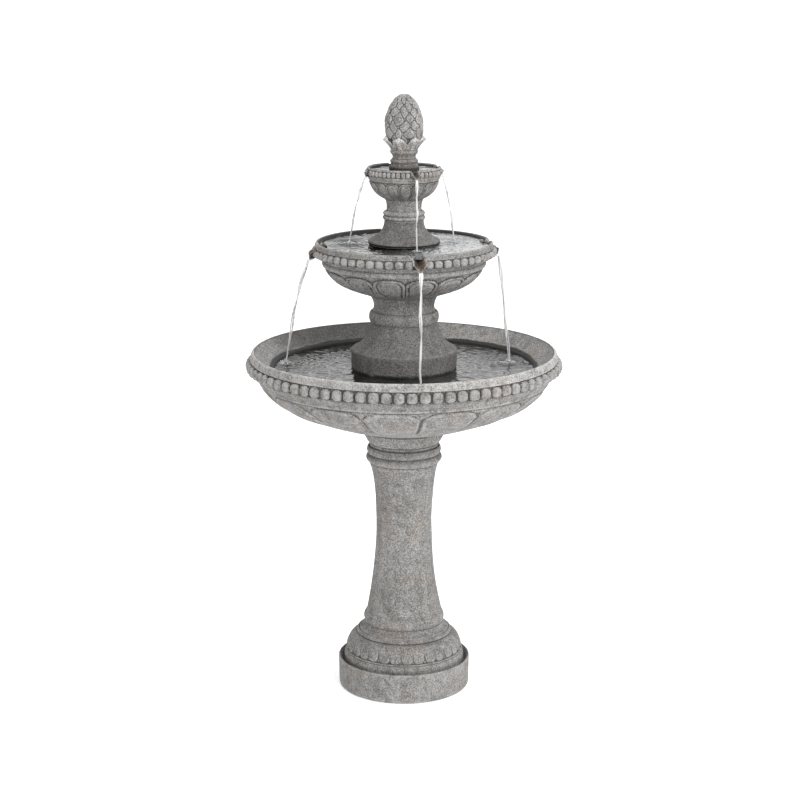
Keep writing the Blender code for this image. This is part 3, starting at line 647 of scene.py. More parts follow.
def spout(tier, n, material, first_turn, spot, size, length, seed):
    """V-shaped lip stone: thick rounded walls, chipped edges, and a beak at the front."""
    stations, across = 22, 17
    chance = np.random.default_rng(seed + n)
    place = spout_place(spout_turn(first_turn, n), *spot)
    half_width, depth = size
    wall = 0.1 * half_width + 0.0007
    inner = [(side, 1 - abs(side)) for side in np.linspace(-1, 1, across)]
    section = []
    for side, deep in inner:
        round_floor = 0.0016 * math.exp(-(side / 0.16) ** 2)
        section.append((side * (half_width - wall), -deep * (depth - wall * 1.4) + round_floor))
    for side, deep in reversed(inner):
        section.append((side * half_width, -deep * depth))
    section = np.array(section)
    phase = chance.uniform(0, TURN, 6)
    points = []
    for k in range(stations):
        t = k / (stations - 1)
        level = -section[:, 1] / depth
        front = length * (0.5 - 0.16 * (1 - level) ** 1.5)
        x = -length / 2 + t * (front + length / 2)
        flare = 1 + 0.1 * t ** 3
        coarse, fine = 610 * x + phase[0], 1330 * x + 900 * section[:, 0] + phase[1]
        chips = 0.0005 * (np.sin(coarse) + np.sin(fine))
        top = ease(level, 0.25, 0.0)
        y = section[:, 0] * flare + chips * 0.5
        z = section[:, 1] + chips * top - 0.0012 * t ** 2 * top
        points.append(np.stack((x, y, z), 1))
    count = len(section)
    faces = [tuple(face) for face in grid_faces(stations, count, False).tolist()]
    faces.append(tuple(range(count)))
    faces.append(tuple(reversed(range((stations - 1) * count, stations * count))))
    world = [tuple(place @ Vector(point)) for point in np.concatenate(points)]
    name = f"{tier}_lip_stone_{n + 1}"
    mesh = mesh_of(name, world, faces)
    reworked(mesh, face_outwards)
    t = np.repeat(np.arange(stations) / (stations - 1), count).reshape(stations, count)
    near_top = ease(-section[:, 1] / depth, 0.22, 0.0)[None, :]
    hollow = 0.5 - 0.45 * np.maximum(near_top, ease(t, 0.9, 1.0))
    set_number(mesh, "hollow", hollow)
    smooth(mesh, 45)
    piece = new_object(name, mesh, material)
    settle(piece, tier + "_bowl", "spout_stone", f"{tier}_spout_{n + 1}")


# ---- cast pieces ----

def near_spouts(angle, radius, first_turn, width):
    """1 under a spout, fading to 0 at each side."""
    off = np.full(np.broadcast(angle, radius).shape, 10.0)
    for n in range(SPOUT_COUNT):
        turn = spout_turn(first_turn, n)
        off = np.minimum(off, np.abs((angle - turn + math.pi) % TURN - math.pi) * radius)
    return ease(off, width, 0.0)


def base_plinth(stone):
    sections = [
        ("rim", join(
            bend((0.1468, 0.068), (0.147, 0.0687), (0.1478, 0.0687), 0.0005),
            bend((0.1485, 0.0687), (0.1502, 0.0686), (0.1503, 0.066), 0.0008))),
        ("side", join(
            line((0.1503, 0.066), (0.149, 0.006)),
            bend((0.149, 0.006), (0.1487, 0.0012), (0.145, 0.0006), 0.0012))),
        ("inside_underside", path((0.145, 0.0003), (0.143, 0.0), (0.04, 0.0), spacing=COARSE)),
        ("inside_bore", line((0.04, 0.0), (0.04, 0.06), COARSE)),
        ("inside_recess", path((0.04, 0.06), (0.1395, 0.06), (0.1468, 0.068),
            spacing=0.004)),
    ]
    plinth = turned("plinth", sections, 240, stone)
    cut_away(plinth, [box_shape((-0.011, 0.02, -0.01), (0.011, 0.17, 0.014))])
    settle(plinth, "base", "cast_stone", "base_plinth")


def foot(stone):
    sections = [
        ("lip", join(
            bend((0.103, 0.1335), (0.1032, 0.1345), (0.1042, 0.1345), 0.0006),
            bulge((0.1048, 0.1345), (0.1072, 0.1262), 0.0022, 0.0008))),
        ("gadroons", bend((0.1066, 0.1256), (0.128, 0.1215), (0.134, 0.085), 0.001)),
        ("band", join(
            line((0.134, 0.085), (0.1328, 0.0836), 0.0007),
            bulge((0.133, 0.0832), (0.137, 0.0715), 0.001, 0.001),
            line((0.137, 0.0715), (0.137, 0.0603), 0.002))),
        ("inside", path((0.137, 0.0603), (0.115, 0.0603), (0.113, 0.085), (0.088, 0.111),
            (0.05, 0.111), (0.05, 0.125), (0.103, 0.125), (0.103, 0.1335),
            spacing=COARSE)),
    ]

    def lip_seam(angle, v, d, outline):
        return -0.0012 * np.exp(-((v - 0.98) / 0.06) ** 2)

    reliefs = {"gadroons": gadroons(30, 0.0038, math.radians(-2.5)), "lip": lip_seam}
    settle(turned("foot_mould", sections, 720, stone, reliefs), "foot", "cast_stone", "foot")


def column(stone):
    sections = [
        ("collar", join(
            bend((0.0788, 0.565), (0.079, 0.566), (0.08, 0.566), 0.0006),
            bulge((0.0812, 0.5655), (0.0812, 0.55), 0.0024, 0.0012),
            line((0.0812, 0.55), (0.0806, 0.5486), 0.0006),
            bulge((0.0812, 0.5478), (0.0788, 0.529), 0.0056, 0.0012),
            bend((0.0775, 0.5282), (0.0768, 0.526), (0.0765, 0.522), 0.0012))),
        ("shaft", join(
            bend((0.0765, 0.522), (0.0655, 0.495), (0.0628, 0.395), 0.004),
            bend((0.0628, 0.395), (0.0625, 0.285), (0.0842, 0.185), 0.004),
            bend((0.0842, 0.185), (0.085, 0.178), (0.0882, 0.173), 0.0015))),
        ("ring", join(
            bulge((0.0892, 0.1715), (0.089, 0.153), 0.0026, 0.0012),
            line((0.089, 0.153), (0.088, 0.1512), 0.0007),
            bend((0.0882, 0.1505), (0.0905, 0.14), (0.1005, 0.1368), 0.0014),
            bulge((0.101, 0.1366), (0.1018, 0.13), 0.0004, 0.0014),
            line((0.1018, 0.13), (0.1018, 0.1253), 0.0016))),
        ("inside", path((0.1018, 0.1253), (0.045, 0.1253), (0.045, 0.549), (0.0788, 0.549),
            (0.0788, 0.565), spacing=COARSE)),
    ]

    def hand_rubbed(angle, v, d, outline):
        z = outline[:, 1:]
        return 0.0004 * np.sin(3 * angle + 22 * z) + 0.0003 * np.sin(5 * angle - 41 * z + 1)

    shaft = turned("column_shaft", sections, 288, stone, {"shaft": hand_rubbed})
    settle(shaft, "column", "cast_stone", "column")


def bottom_bowl(stone):
    sections = [
        ("rim", join(
            bend((0.3335, 0.7822), (0.3345, 0.783), (0.3358, 0.783), 0.0008),
            bend((0.3358, 0.783), (0.339, 0.783), (0.3408, 0.7778), 0.0012),
            bend((0.3408, 0.7778), (0.3426, 0.7735), (0.3436, 0.7672), 0.0013),
            line((0.3436, 0.7672), (0.3424, 0.7655), 0.0008))),
        ("beads", line((0.3426, 0.7652), (0.3432, 0.7406), 0.001)),
        ("band", join(
            line((0.3432, 0.7406), (0.333, 0.7394), 0.0014),
            bulge((0.333, 0.7394), (0.3282, 0.727), 0.0014, 0.0014),
            bend((0.3282, 0.727), (0.325, 0.7245), (0.3238, 0.7152), 0.0014))),
        ("belly", join(
            bend((0.3225, 0.7132), (0.296, 0.669), (0.235, 0.649), 0.0015),
            bend((0.235, 0.649), (0.16, 0.62), (0.093, 0.604), 0.005))),
        ("neck", join(
            bend((0.093, 0.604), (0.0896, 0.588), (0.079, 0.574), 0.002),
            line((0.079, 0.574), (0.0774, 0.5665), 0.002),
            line((0.0774, 0.5665), (0.0774, 0.5493), 0.004))),
        ("inside_neck", path((0.0774, 0.5493), (0.055, 0.5493), (0.055, 0.595), (0.02, 0.6),
            (0.02, 0.625), spacing=0.012)),
        ("inside_floor", join(
            line((0.02, 0.625), (0.13, 0.625), 0.02),
            bend((0.13, 0.625), (0.28, 0.652), (0.29, 0.748), 0.01))),
        ("wall", bend((0.29, 0.748), (0.315, 0.764), (0.3335, 0.7822), 0.0026)),
    ]

    def wetness_and_painted_light(label, angle, radius, height):
        wave = 0.002 * np.sin(5 * angle) + 0.0015 * np.sin(11 * angle + 1)
        wave = wave + 0.001 * np.sin(23 * angle)
        if label == "wall":
            # painted shade: the back-left of the wall darkened as in shadow
            shaded = ease(angle, 2.95, 3.25) * ease(angle, 4.55, 3.95) * ease(height, 0.75, 0.756)
            return np.maximum(ease(height + 0.4 * wave, 0.7552, 0.7522), 0.6 * shaded)
        # rim: painted shade along its inner edge (0.7), painted light over the rest of its top
        # (-0.5), lighter as lit from above
        if label == "rim":
            return np.where(radius < 0.3348, 0.7, -0.5) + 0.0 * angle
        return np.ones_like(angle * radius) if label == "inside_floor" else 0.0 * angle

    beads, first = 80, math.radians(0.5)
    reliefs = {"beads": bead_row(beads, 0.0108, first, 11),
               "belly": melon_petals(15, 0.03, math.radians(7.0))}
    bowl = turned("bottom_basin", sections, bead_columns(beads, first), stone, reliefs, wetness_and_painted_light=wetness_and_painted_light)
    settle(bowl, "bottom_bowl", "cast_stone", "bottom_bowl")


def lower_riser(stone):
    sections = [
        ("collar", join(
            bend((0.0688, 0.8738), (0.0692, 0.8752), (0.0704, 0.875), 0.0006),
            bend((0.0704, 0.875), (0.0772, 0.8742), (0.0778, 0.8632), 0.001),
            bend((0.0778, 0.8632), (0.0782, 0.8525), (0.0737, 0.8486), 0.001),
            line((0.0737, 0.8486), (0.0732, 0.8468), 0.0006))),
        ("bell", join(
            bend((0.0734, 0.8464), (0.0812, 0.806), (0.1146, 0.7904), 0.002),
            bend((0.1146, 0.7904), (0.1172, 0.7892), (0.1176, 0.7856), 0.0009))),
        ("drum", line((0.1176, 0.7856), (0.1168, 0.6253), 0.005)),
        ("inside", join(
            path((0.1168, 0.6253), (0.1, 0.6253), (0.1, 0.755), spacing=COARSE),
            bend((0.1, 0.755), (0.056, 0.775), (0.052, 0.83), COARSE),
            path((0.052, 0.83), (0.052, 0.862), (0.0688, 0.862), (0.0688, 0.8738),
                 spacing=COARSE))),
    ]

    def wetness_and_painted_light(label, angle, radius, height):
        line_of_damp = height + 0.0015 * np.sin(7 * angle) + 0.001 * np.sin(17 * angle)
        if label == "drum":
            # wet above the water line; the 0.44 over the rest of the drum is painted shade under
            # the middle bowl
            return np.maximum(ease(line_of_damp, 0.75, 0.7462), 0.44)
        # painted shade: the bell, collar and inside darkened as under the middle bowl
        return (0.36 if label == "bell" else 0.12) + 0.0 * angle

    riser = turned("lower_pedestal", sections, 288, stone, wetness_and_painted_light=wetness_and_painted_light)
    cut_away(riser, [box_shape((0.05, -0.016, 0.6), (0.13, 0.016, 0.643), side * TURN / 4)
                     for side in range(4)])
    settle(riser, "lower_riser", "cast_stone", "lower_riser")


def middle_bowl(stone):
    sections = [
        ("rim", join(
            bend((0.19, 1.0279), (0.1915, 1.0287), (0.193, 1.0287), 0.0008),
            bend((0.193, 1.0287), (0.1956, 1.0287), (0.1964, 1.024), 0.0009),
            bend((0.1964, 1.024), (0.1974, 1.0212), (0.1979, 1.0176), 0.0009),
            line((0.1979, 1.0176), (0.1969, 1.0164), 0.0006))),
        ("beads", line((0.1971, 1.0162), (0.1975, 0.9984), 0.0009)),
        ("band", join(
            line((0.1975, 0.9984), (0.1895, 0.9977), 0.0012),
            bend((0.1895, 0.9977), (0.1815, 0.994), (0.1798, 0.9864), 0.0011),
            bulge((0.1802, 0.986), (0.1788, 0.9752), 0.0018, 0.0011))),
        ("belly", join(
            bend((0.1778, 0.9742), (0.1622, 0.9416), (0.125, 0.927), 0.0011),
            bend((0.125, 0.927), (0.1, 0.9185), (0.0775, 0.9115), 0.002))),
        ("neck", join(
            bend((0.0775, 0.9115), (0.069, 0.902), (0.0672, 0.8869), 0.0016),
            bend((0.0672, 0.8869), (0.0672, 0.88), (0.0702, 0.8757), 0.001),
            line((0.0702, 0.8757), (0.0677, 0.8754), 0.0008),
            line((0.0677, 0.8754), (0.0677, 0.8623), 0.004))),
        ("inside_neck", path((0.0677, 0.8623), (0.042, 0.8623), (0.042, 0.908), (0.0095, 0.914),
            (0.0095, 0.932), spacing=0.012)),
        ("inside_floor", join(
            line((0.0095, 0.932), (0.07, 0.932), 0.02),
            bend((0.07, 0.932), (0.17, 0.948), (0.18, 1.015), 0.01))),
        ("wall", line((0.18, 1.015), (0.19, 1.0279), 0.0024)),
    ]

    def wetness_and_painted_light(label, angle, radius, height):
        if label == "wall":
            # wet, and painted shade: the whole wall above the water darkened as in shadow
            return ease(height + 0.002 * np.sin(angle + 0.6), 1.03, 1.025)
        if label in ("rim", "beads"):
            darkening = 0.8 * near_spouts(angle, radius, DISH_SPOUT_TURN, 0.028)
            # the rim top evenly a little darker
            rim_darkening = 0.24 if label == "rim" else 0.0
            # painted shade along the rim's inner edge (0.7)
            return np.maximum(darkening, np.where(radius < 0.1912, 0.7, rim_darkening))
        return np.ones_like(angle * radius) if label == "inside_floor" else 0.0 * angle

    beads, first = 58, 0.0
    petals = egg_petals(14, 0.0062, 0.027, math.radians(1.0), 0.0026, 0.0048, 0.108)
    reliefs = {"beads": bead_row(beads, 0.0078, first, 12), "belly": petals}
    bowl = turned("middle_basin", sections, bead_columns(beads, first), stone, reliefs, wetness_and_painted_light=wetness_and_painted_light)
    cut_notches(bowl, DISH_SPOUT_TURN, DISH_SPOUT_SPOT, DISH_SPOUT_SIZE, 0.042)
    settle(bowl, "middle_bowl", "cast_stone", "middle_bowl")


def upper_riser(stone):
    sections = [
        ("collar", join(
            bend((0.0393, 1.0972), (0.0396, 1.098), (0.0404, 1.098), 0.0005),
            bulge((0.0412, 1.0978), (0.044, 1.0885), 0.0036, 0.0008),
            line((0.044, 1.088), (0.0438, 1.0872), 0.0005),
            bulge((0.0444, 1.0866), (0.044, 1.0784), 0.003, 0.0008),
            line((0.0436, 1.0778), (0.0434, 1.076), 0.0006))),
        ("bell", join(
            bend((0.0434, 1.076), (0.0445, 1.047), (0.0755, 1.035), 0.0016),
            bend((0.0755, 1.035), (0.0805, 1.033), (0.0795, 1.028), 0.0009),
            line((0.0795, 1.028), (0.0785, 1.0245), 0.001))),
        ("inside", join(
            path((0.0785, 1.0245), (0.062, 1.0255), (0.06, 1.01), (0.06, 0.9323),
                 (0.044, 0.9323), (0.042, 1.015), spacing=COARSE),
            bend((0.042, 1.015), (0.029, 1.03), (0.028, 1.07), COARSE),
            path((0.028, 1.07), (0.028, 1.086), (0.0393, 1.086), (0.0393, 1.0972),
                 spacing=0.004))),
    ]

    def wetness_and_painted_light(label, angle, radius, height):
        if label == "bell":
            # wet just above the water; the 0.36 over the rest of the bell is painted shade under
            # the top bowl
            return np.maximum(ease(height, 1.032, 1.027), 0.36) + 0.0 * angle
        # painted light: the collar lightened as lit
        return -0.45 + 0.0 * angle

    settle(turned("upper_pedestal", sections, 240, stone, wetness_and_painted_light=wetness_and_painted_light), "upper_riser", "cast_stone",
           "upper_riser")


def top_bowl(stone):
    sections = [
        ("rim", join(
            bend((0.077, 1.1934), (0.0774, 1.194), (0.0783, 1.194), 0.0005),
            bend((0.0783, 1.194), (0.0806, 1.1938), (0.0816, 1.1902), 0.0006),
            line((0.0816, 1.1902), (0.081, 1.1893), 0.0005))),
        ("beads", line((0.0812, 1.1892), (0.0815, 1.1774), 0.0008)),
        ("band", join(
            line((0.0815, 1.1774), (0.0803, 1.1768), 0.0007),
            bulge((0.0802, 1.1765), (0.0795, 1.1712), 0.0006, 0.0008),
            bend((0.0795, 1.1712), (0.078, 1.17), (0.0775, 1.166), 0.0008))),
        ("belly", join(
            bend((0.0772, 1.164), (0.0705, 1.135), (0.0425, 1.1235), 0.0008),
            bend((0.0425, 1.1235), (0.039, 1.117), (0.0384, 1.108), 0.0014))),
        ("neck", line((0.0384, 1.108), (0.0384, 1.0863), 0.003)),
        ("inside_neck", path((0.0384, 1.0863), (0.022, 1.0863), (0.022, 1.13), (0.0075, 1.136),
            (0.0075, 1.16), spacing=0.008)),
        ("inside_floor", join(
            line((0.0075, 1.16), (0.048, 1.16), 0.01),
            bend((0.048, 1.16), (0.069, 1.164), (0.0725, 1.185), 0.005))),
        ("wall", line((0.0725, 1.185), (0.077, 1.1934), 0.0016)),
    ]

    def wetness_and_painted_light(label, angle, radius, height):
        if label == "wall":
            return ease(height, 1.193, 1.1895)
        if label in ("rim", "beads"):
            return 0.75 * near_spouts(angle, radius, CUP_SPOUT_TURN, 0.018)
        return np.ones_like(angle * radius) if label == "inside_floor" else 0.0 * angle

    beads, first = 48, math.radians(2.0)
    petals = egg_petals(15, 0.001, 0.014, math.radians(-9.3), 0.0012, 0.0036, 0.062)
    reliefs = {"beads": bead_row(beads, 0.0043, first, 13), "belly": petals}
    bowl = turned("top_basin", sections, bead_columns(beads, first), stone, reliefs, wetness_and_painted_light=wetness_and_painted_light)
    cut_notches(bowl, CUP_SPOUT_TURN, CUP_SPOUT_SPOT, CUP_SPOUT_SIZE, 0.023)
    settle(bowl, "top_bowl", "cast_stone", "top_bowl")


def leaf(turn):
    """One leaf of the cup under the cone: hollow, ribbed down the middle, its tip turned out."""
    rows, columns = 15, 13
    spine = bend((0.0285, 1.2298), (0.0352, 1.2425), (0.0468, 1.252), 0.0001)
    spine = spine[np.linspace(0, len(spine) - 1, rows - 4).astype(int)]
    tip = np.array([(0.0479, 1.2538), (0.0474, 1.2562), (0.0456, 1.2588), (0.0428, 1.2606)])
    spine = np.concatenate((spine, tip))
    s = np.linspace(0, 1, rows)[:, None]
    u = np.linspace(-1, 1, columns)[None, :]
    half = 0.02 * np.sin(math.pi * (0.3 + 0.46 * s)) ** 0.8 * (1 - s ** 8) ** 0.5
    half = half * (0.62 + 0.38 * s)
    rib = 0.0011 * np.exp(-(u / 0.16) ** 2) - 0.0004 * np.cos(u * 9) * (1 - u * u)
    cup = -0.0022 * u * u * s
    radius = spine[:, :1] + cup + rib
    droop = -0.0035 * np.abs(u) ** 1.6 * ease(s, 0.5, 1.0)
    height = spine[:, 1:] + droop
    angle = turn + u * half / np.maximum(spine[:, :1], 0.03)
    outer = round_axis(radius, angle, height + 0 * u)
    inner = round_axis(radius - 0.0034 * (1 - 0.3 * s), angle, height + 0.0006 + 0 * u)
    front = grid_faces(rows, columns, False, False)
    count = rows * columns
    back = front[:, ::-1] + count
    border = list(range(columns)) + [i * columns + columns - 1 for i in range(1, rows)]
    border += [(rows - 1) * columns + j for j in range(columns - 2, -1, -1)]
    border += [i * columns for i in range(rows - 2, 0, -1)]
    edge = [(a, b, b + count, a + count) for a, b in zip(border, border[1:] + border[:1])]
    points = np.concatenate((outer.reshape(-1, 3), inner.reshape(-1, 3)))
    beside_rib = (np.abs(u) < 0.75) * (np.abs(u) > 0.2)
    # higher beside the rib, where the stone's painted shade darkens the leaf; lower towards the tip
    hollow = 0.5 + 0.25 * beside_rib * ease(s, 1.0, 0.4) - 0.35 * ease(s, 0.75, 1.0)
    return points, front.tolist() + back.tolist() + edge, np.tile(hollow.ravel(), 2)


def finial(stone):
    sections = [
        ("tip", path((0.0, 1.3506), (0.0075, 1.3508), (0.01, 1.35), spacing=0.0012)),
        ("cone", join(
            bend((0.01, 1.35), (0.0385, 1.333), (0.0436, 1.286), 0.0009),
            bend((0.0436, 1.286), (0.0434, 1.268), (0.0385, 1.256), 0.0009),
            bend((0.0385, 1.256), (0.036, 1.25), (0.0345, 1.245), 0.0014))),
        ("cup", bend((0.0345, 1.245), (0.033, 1.236), (0.029, 1.2312), 0.001)),
        ("stem", join(
            bulge((0.029, 1.2312), (0.0284, 1.2222), 0.002, 0.0008),
            line((0.028, 1.2218), (0.0272, 1.2206), 0.0006),
            bend((0.0272, 1.2206), (0.0236, 1.216), (0.0268, 1.2112), 0.0008),
            bulge((0.0282, 1.2106), (0.0292, 1.203), 0.002, 0.0008),
            bend((0.029, 1.2024), (0.0284, 1.2), (0.0318, 1.196), 0.0008),
            line((0.033, 1.1945), (0.033, 1.1603), 0.0024))),
        ("inside", path((0.033, 1.1603), (0.0155, 1.1603), (0.0155, 1.2), (0.0, 1.2),
            spacing=0.006)),
    ]

    def wetness_and_painted_light(label, angle, radius, height):
        return ease(height, 1.206, 1.19) * 0.8 + 0.0 * angle

    reliefs = {"cone": cone_scales(10, 3.7, 0.0042, 5), "stem": ridges(16, 0.0005)}
    cone = turned("pine_cone", sections, 384, stone, reliefs, closed=False, wetness_and_painted_light=wetness_and_painted_light)
    shapes = [leaf(math.radians(35.0) + n * TURN / 7) for n in range(7)]
    leaves = joined("leaves", [(points, faces) for points, faces, _ in shapes], stone)
    set_number(leaves.data, "hollow", np.concatenate([hollow for _, _, hollow in shapes]))
    # painted light: the leaves lightened all over as lit
    set_number(leaves.data, "wet_and_painted_light", np.full(len(leaves.data.vertices), -0.85))
    rounding = leaves.modifiers.new("rounding", "SUBSURF")
    rounding.levels = rounding.render_levels = 1
    apply_modifiers(leaves)
    settle(cone, "finial", "cast_stone", "finial")
    leaves.name = "finial_leaves"
    settle(leaves, "finial", "cast_stone")


# ---- water ----

def landing_points(landings):
    """Places, from the reach and the turn in degrees of each."""
    return [(reach * math.sin(math.radians(turn)), -reach * math.cos(math.radians(turn)))
            for reach, turn in landings]


def ripples(centres, strength, wave, seed, steepness):
    """Rings spreading from where the streams land, over a chop of the given steepness."""
    chance = np.random.default_rng(seed)
    waves = [(chance.uniform(0, TURN), TURN / chance.uniform(0.012, 0.038), chance.uniform(0, TURN))
             for _ in range(18)]

    def relief(angle, v, d, outline):
        radius = outline[:, :1]
        x, y = radius * np.sin(angle), -radius * np.cos(angle)
        rise = 0.0 * x
        for cx, cy in centres:
            away = np.hypot(x - cx, y - cy)
            bend_of_ring = 0.15 * np.sin(3 * np.arctan2(y - cy, x - cx) + cx * 90)
            rings = np.cos(TURN * away / wave + bend_of_ring) * np.exp(-away / (3.2 * wave))
            rise += strength * rings * ease(away, 0.0, 0.6 * wave)
        warp = 0.006 * np.sin(38 * x + 21 * y) + 0.005 * np.sin(27 * y - 33 * x + 1)
        for direction, number, phase in waves:
            along = (x + warp) * math.cos(direction) + (y - warp) * math.sin(direction)
            rise += steepness / number * np.sin(number * along + phase)
        return rise * ease(v, 1.0, 0.985) * ease(v, 0.0, 0.02)
    return relief


def pool(name, body, material, inner, outer, level, centres, wave, segments, seed, steepness, foam_and_sheen):
    depth = 0.004
    sections = [
        ("surface", line((inner, level), (outer, level), 0.0016)),
        ("edge", path((outer, level), (outer - 0.001, level - depth), (inner, level - depth),
            (inner, level), spacing=0.02)),
    ]
    relief = {"surface": ripples(centres, 0.002, wave, seed, steepness)}

    def froth_and_painted_reflection(label, angle, radius, height):
        x, y = radius * np.sin(angle), -radius * np.cos(angle)
        # painted reflection: froth whitening the right side, standing in for the bright surround
        # reflected there
        amount = foam_and_sheen * ease(x, -0.06, 0.11)
        for cx, cy in centres:
            amount = np.maximum(amount, 0.75 * np.exp(-(np.hypot(x - cx, y - cy) / wave) ** 2))
        return amount

    water_disc = turned(name, sections, segments, material, relief, wetness_and_painted_light=froth_and_painted_reflection, uneven=False)
    settle(water_disc, body, None)


def tube(path_points, radii, sides, twist, seed):
    """A closed tube along a path, its section slightly flattened and turning as it goes."""
    chance = np.random.default_rng(seed)
    phase = chance.uniform(0, TURN)
    rings = []
    for i, (centre, radius) in enumerate(zip(path_points, radii)):
        ahead = path_points[min(i + 1, len(path_points) - 1)] - path_points[max(i - 1, 0)]
        ahead /= np.linalg.norm(ahead)
        side = np.cross(ahead, (0.3, 0.2, 1.0) if abs(ahead[2]) < 0.8 else (0, 1.0, 0.1))
        side /= np.linalg.norm(side)
        up = np.cross(side, ahead)
        turn = np.arange(sides) * TURN / sides
        flat = 1 + 0.35 * np.cos(2 * (turn - twist * i - phase))
        rings.append(centre + radius * flat[:, None] * (np.cos(turn)[:, None] * side
                                                        + np.sin(turn)[:, None] * up))
    points = np.concatenate(rings)
    faces = grid_faces(len(rings), sides, False).tolist()
    faces.append(list(range(sides)))
    faces.append([(len(rings) - 1) * sides + i for i in reversed(range(sides))])
    return points, faces


def droplet(centre, radius, seed):
    """A small uneven drop."""
    chance = np.random.default_rng(seed)
    shape = bmesh.new()
    bmesh.ops.create_icosphere(shape, subdivisions=2, radius=radius)
    stretch = chance.uniform(0.8, 1.5)
    points = []
    for vert in shape.verts:
        lump = 1 + 0.18 * math.sin(4 * vert.co.x / radius + seed) * math.cos(3 * vert.co.y / radius)
        points.append((centre[0] + vert.co.x * lump, centre[1] + vert.co.y * lump,
                       centre[2] + vert.co.z * lump * stretch))
    faces = [[vert.index for vert in face.verts] for face in shape.faces]
    shape.free()
    return points, faces


def stream(tier, n, material, first_turn, start, lip, landing, level, radius, seed):
    """Water from the bowl down its spout and off the lip, in strands that twist as they fall.

    start and lip are the reach and height of the two ends of its run down the spout.
    """
    strands, run_steps, fall_steps, sides, drops = 2, 16, 90, 9, 26
    turn = spout_turn(first_turn, n)
    seed = seed + n
    chance = np.random.default_rng(seed)
    outwards = np.array((math.sin(turn), -math.cos(turn), 0.0))
    sideways = np.array((math.cos(turn), math.sin(turn), 0.0))
    edge = outwards * lip[0] + np.array((0, 0, lip[1]))
    foot = np.array((*landing, level))
    shapes = []
    for strand in range(strands):
        phase = strand * math.pi + chance.uniform(-0.5, 0.5)
        spin = chance.uniform(5, 8)
        points, radii = [], []
        for k in range(run_steps):
            t = k / run_steps
            r = start[0] + (lip[0] - start[0]) * t
            z = start[1] + (lip[1] - start[1]) * t
            spread = (1.3 - 0.7 * t) * radius * math.cos(phase)
            points.append(outwards * r + sideways * spread + np.array((0, 0, z)))
            radii.append(0.7 * radius)
        for k in range(fall_steps + 1):
            s = k / fall_steps
            centre = edge + (foot - edge) * np.array((s ** 0.92, s ** 0.92, 0.7 * s + 0.3 * s * s))
            loose = radius * (0.6 + 0.35 * math.sin(spin * 1.7 * s + 2 * phase))
            off = loose * math.cos(phase + spin * s) + 0.7 * radius * math.sin(13 * s + seed) * s
            out = loose * math.sin(phase + spin * s)
            points.append(centre + sideways * off + outwards * out)
            beads = 0.16 * math.sin(33 * s + 3 * phase) + 0.1 * math.sin(71 * s * s + phase)
            radii.append(radius * (0.78 - 0.34 * s) * (1 + beads * ease(s, 0.05, 0.4)))
        shapes.append(tube(points, radii, sides, 0.08, seed + strand))
    for drop in range(drops):
        away = chance.uniform(0.0, 1.0) ** 1.4 * 7 * radius
        round_it = chance.uniform(0, TURN)
        lift = chance.uniform(0.0, 4.0) * radius * (1 - away / (9 * radius)) ** 2
        centre = foot + np.array((math.cos(round_it) * away, math.sin(round_it) * away, lift))
        shapes.append(droplet(centre, chance.uniform(0.2, 0.6) * radius, seed * 31 + drop))
    settle(joined(f"{tier}_stream_{n + 1}", shapes, material), tier + "_bowl", None)


def water(pool_finish, stream_finish):
    dish_landings = landing_points(((0.098, 16.0), (0.122, 113.0), (0.116, 198.0), (0.124, -100.0)))
    basin_landings = landing_points(((0.214, 9.5), (0.243, 102.5), (0.24, 189.5), (0.272, -100.0)))
    pool("bottom_water", "bottom_bowl", pool_finish, 0.117, 0.2902, BASIN_WATER, basin_landings,
         0.0145, 576, 21, 0.034, 0.06)
    pool("middle_water", "middle_bowl", pool_finish, 0.0622, 0.1851, DISH_WATER, dish_landings,
         0.011, 480, 22, 0.032, 0.46)
    pool("top_water", "top_bowl", pool_finish, 0.0333, 0.0743, CUP_WATER, [], 0.01, 240, 23, 0.02,
         0.2)
    for n in range(SPOUT_COUNT):
        stream("middle", n, stream_finish, DISH_SPOUT_TURN, (0.2025, 0.9958), (0.2125, 0.9918),
               basin_landings[n], BASIN_WATER, 0.0028, 50)
        stream("top", n, stream_finish, CUP_SPOUT_TURN, (0.0842, 1.175), (0.0895, 1.1725),
               dish_landings[n], DISH_WATER, 0.0019, 70)


# ---- studio ----

def camera():
    """Long lens, slightly above the top bowl, looking down at the fountain."""
    data = bpy.data.cameras.new("camera")
    data.lens = 93.42
    data.sensor_width = 36.0
    data.clip_end = 200.0
    item = bpy.data.objects.new("camera", data)
    item.location = (-0.009, -4.534, 1.749)
    item.rotation_euler = (math.radians(76.6), 0.0, 0.0)
    bpy.context.scene.collection.objects.link(item)
    bpy.context.scene.camera = item


def area_light(name, location, power):
    data = bpy.data.lights.new(name, "AREA")
    data.shape = "DISK"
    data.size = 1.6
    data.energy = power
    lamp = bpy.data.objects.new(name, data)
    lamp.location = location
    aim = Vector((0, 0, 0.8)) - Vector(location)
    lamp.rotation_euler = aim.to_track_quat("-Z", "Y").to_euler()
    bpy.context.scene.collection.objects.link(lamp)


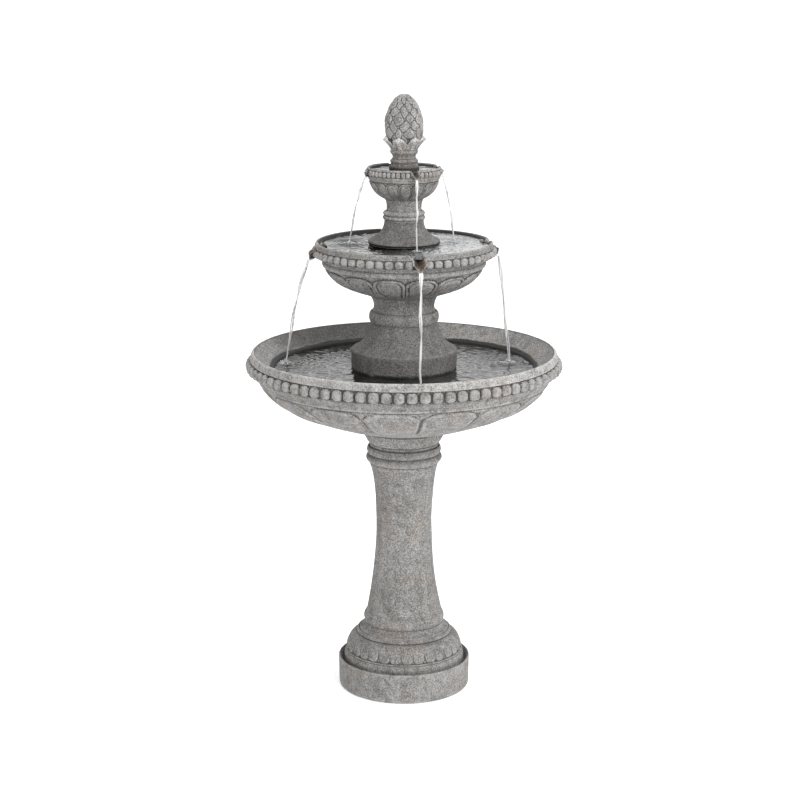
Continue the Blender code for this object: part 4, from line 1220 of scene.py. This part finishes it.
def studio():
    """A white surround, dimmer on the left and in front, with soft lamps at the right and above."""
    scene = bpy.context.scene
    scene.view_settings.view_transform = "Standard"
    scene.world = bpy.data.worlds.new("studio")
    scene.world.use_nodes = True
    world = Nodes(scene.world.node_tree)
    backdrop = world.tree.nodes["Background"]
    place = world.node("ShaderNodeTexCoord", {}).outputs["Generated"]
    toward = world.node("ShaderNodeSeparateXYZ", {"Vector": place}).outputs
    rightwards = world.node("ShaderNodeMapRange", {"Value": toward["X"], "From Min": -1.0,
                                                   "To Min": 0.5, "To Max": 1.05})
    behind = world.node("ShaderNodeMapRange", {"Value": toward["Y"], "From Min": 0.4,
                                               "To Min": 0.0, "To Max": 0.55})
    strength = world.math("ADD", rightwards.outputs["Result"], behind.outputs["Result"])
    world.feed(backdrop.inputs["Strength"], strength)
    world.feed(backdrop.inputs["Color"], (1.0, 1.0, 1.0, 1.0))
    area_light("key", (1.5, -3.4, 3.4), 105.0)
    area_light("top", (0.3, 0.6, 3.6), 40.0)
    floor_finish = Finish("pale_floor")
    drift = floor_finish.noise(3.0, 3.0, 0.5)
    colour = floor_finish.mix(drift, (0.93, 0.93, 0.93, 1), (0.95, 0.95, 0.95, 1))
    floor_finish.surface(Base_Color=colour, Roughness=0.9, Emission_Color=(1, 1, 1, 1),
                         Emission_Strength=0.45)
    mesh = bpy.data.meshes.new("floor")
    shape = bmesh.new()
    bmesh.ops.create_circle(shape, cap_ends=True, segments=96, radius=70.0,
                            matrix=Matrix.Translation((0, 0, -0.0005)))
    shape.to_mesh(mesh)
    shape.free()
    new_object("floor", mesh, floor_finish.material)


# ---- the fountain ----

def finish_inner_parts():
    """Give the CAD nodes that stay, which are the pump and the fittings, their moulded finishes."""
    plastic = moulded("black_plastic", (0.014, 0.014, 0.015), (0.024, 0.024, 0.026), 0.42, 1400.0,
                      0.1)
    rubber = moulded("black_rubber", (0.018, 0.018, 0.018), (0.032, 0.031, 0.03), 0.72, 900.0)
    magnet = moulded("ferrite", (0.045, 0.045, 0.048), (0.075, 0.075, 0.08), 0.5, 2200.0)
    ceramic = moulded("white_ceramic", (0.76, 0.76, 0.73), (0.84, 0.84, 0.82), 0.22, 3000.0, 0.4)
    finishes = {name: plastic for name in HARD_PLASTIC}
    finishes.update({name: rubber for name in RUBBERS})
    finishes.update(rotor_magnet=magnet, pump_shaft=ceramic)
    for name, material in finishes.items():
        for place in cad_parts[name].material_slots:
            place.material = material


def build():
    camera()
    stone = cast_stone()
    wet_stone = spout_stone()
    base_plinth(stone)
    foot(stone)
    column(stone)
    bottom_bowl(stone)
    lower_riser(stone)
    middle_bowl(stone)
    upper_riser(stone)
    top_bowl(stone)
    finial(stone)
    for n in range(SPOUT_COUNT):
        spout("middle", n, wet_stone, DISH_SPOUT_TURN, DISH_SPOUT_SPOT, DISH_SPOUT_SIZE, 0.047, 30)
        spout("top", n, wet_stone, CUP_SPOUT_TURN, CUP_SPOUT_SPOT, CUP_SPOUT_SIZE, 0.023, 40)
    water(pool_water(), falling_water())
    finish_inner_parts()
    studio()


build()
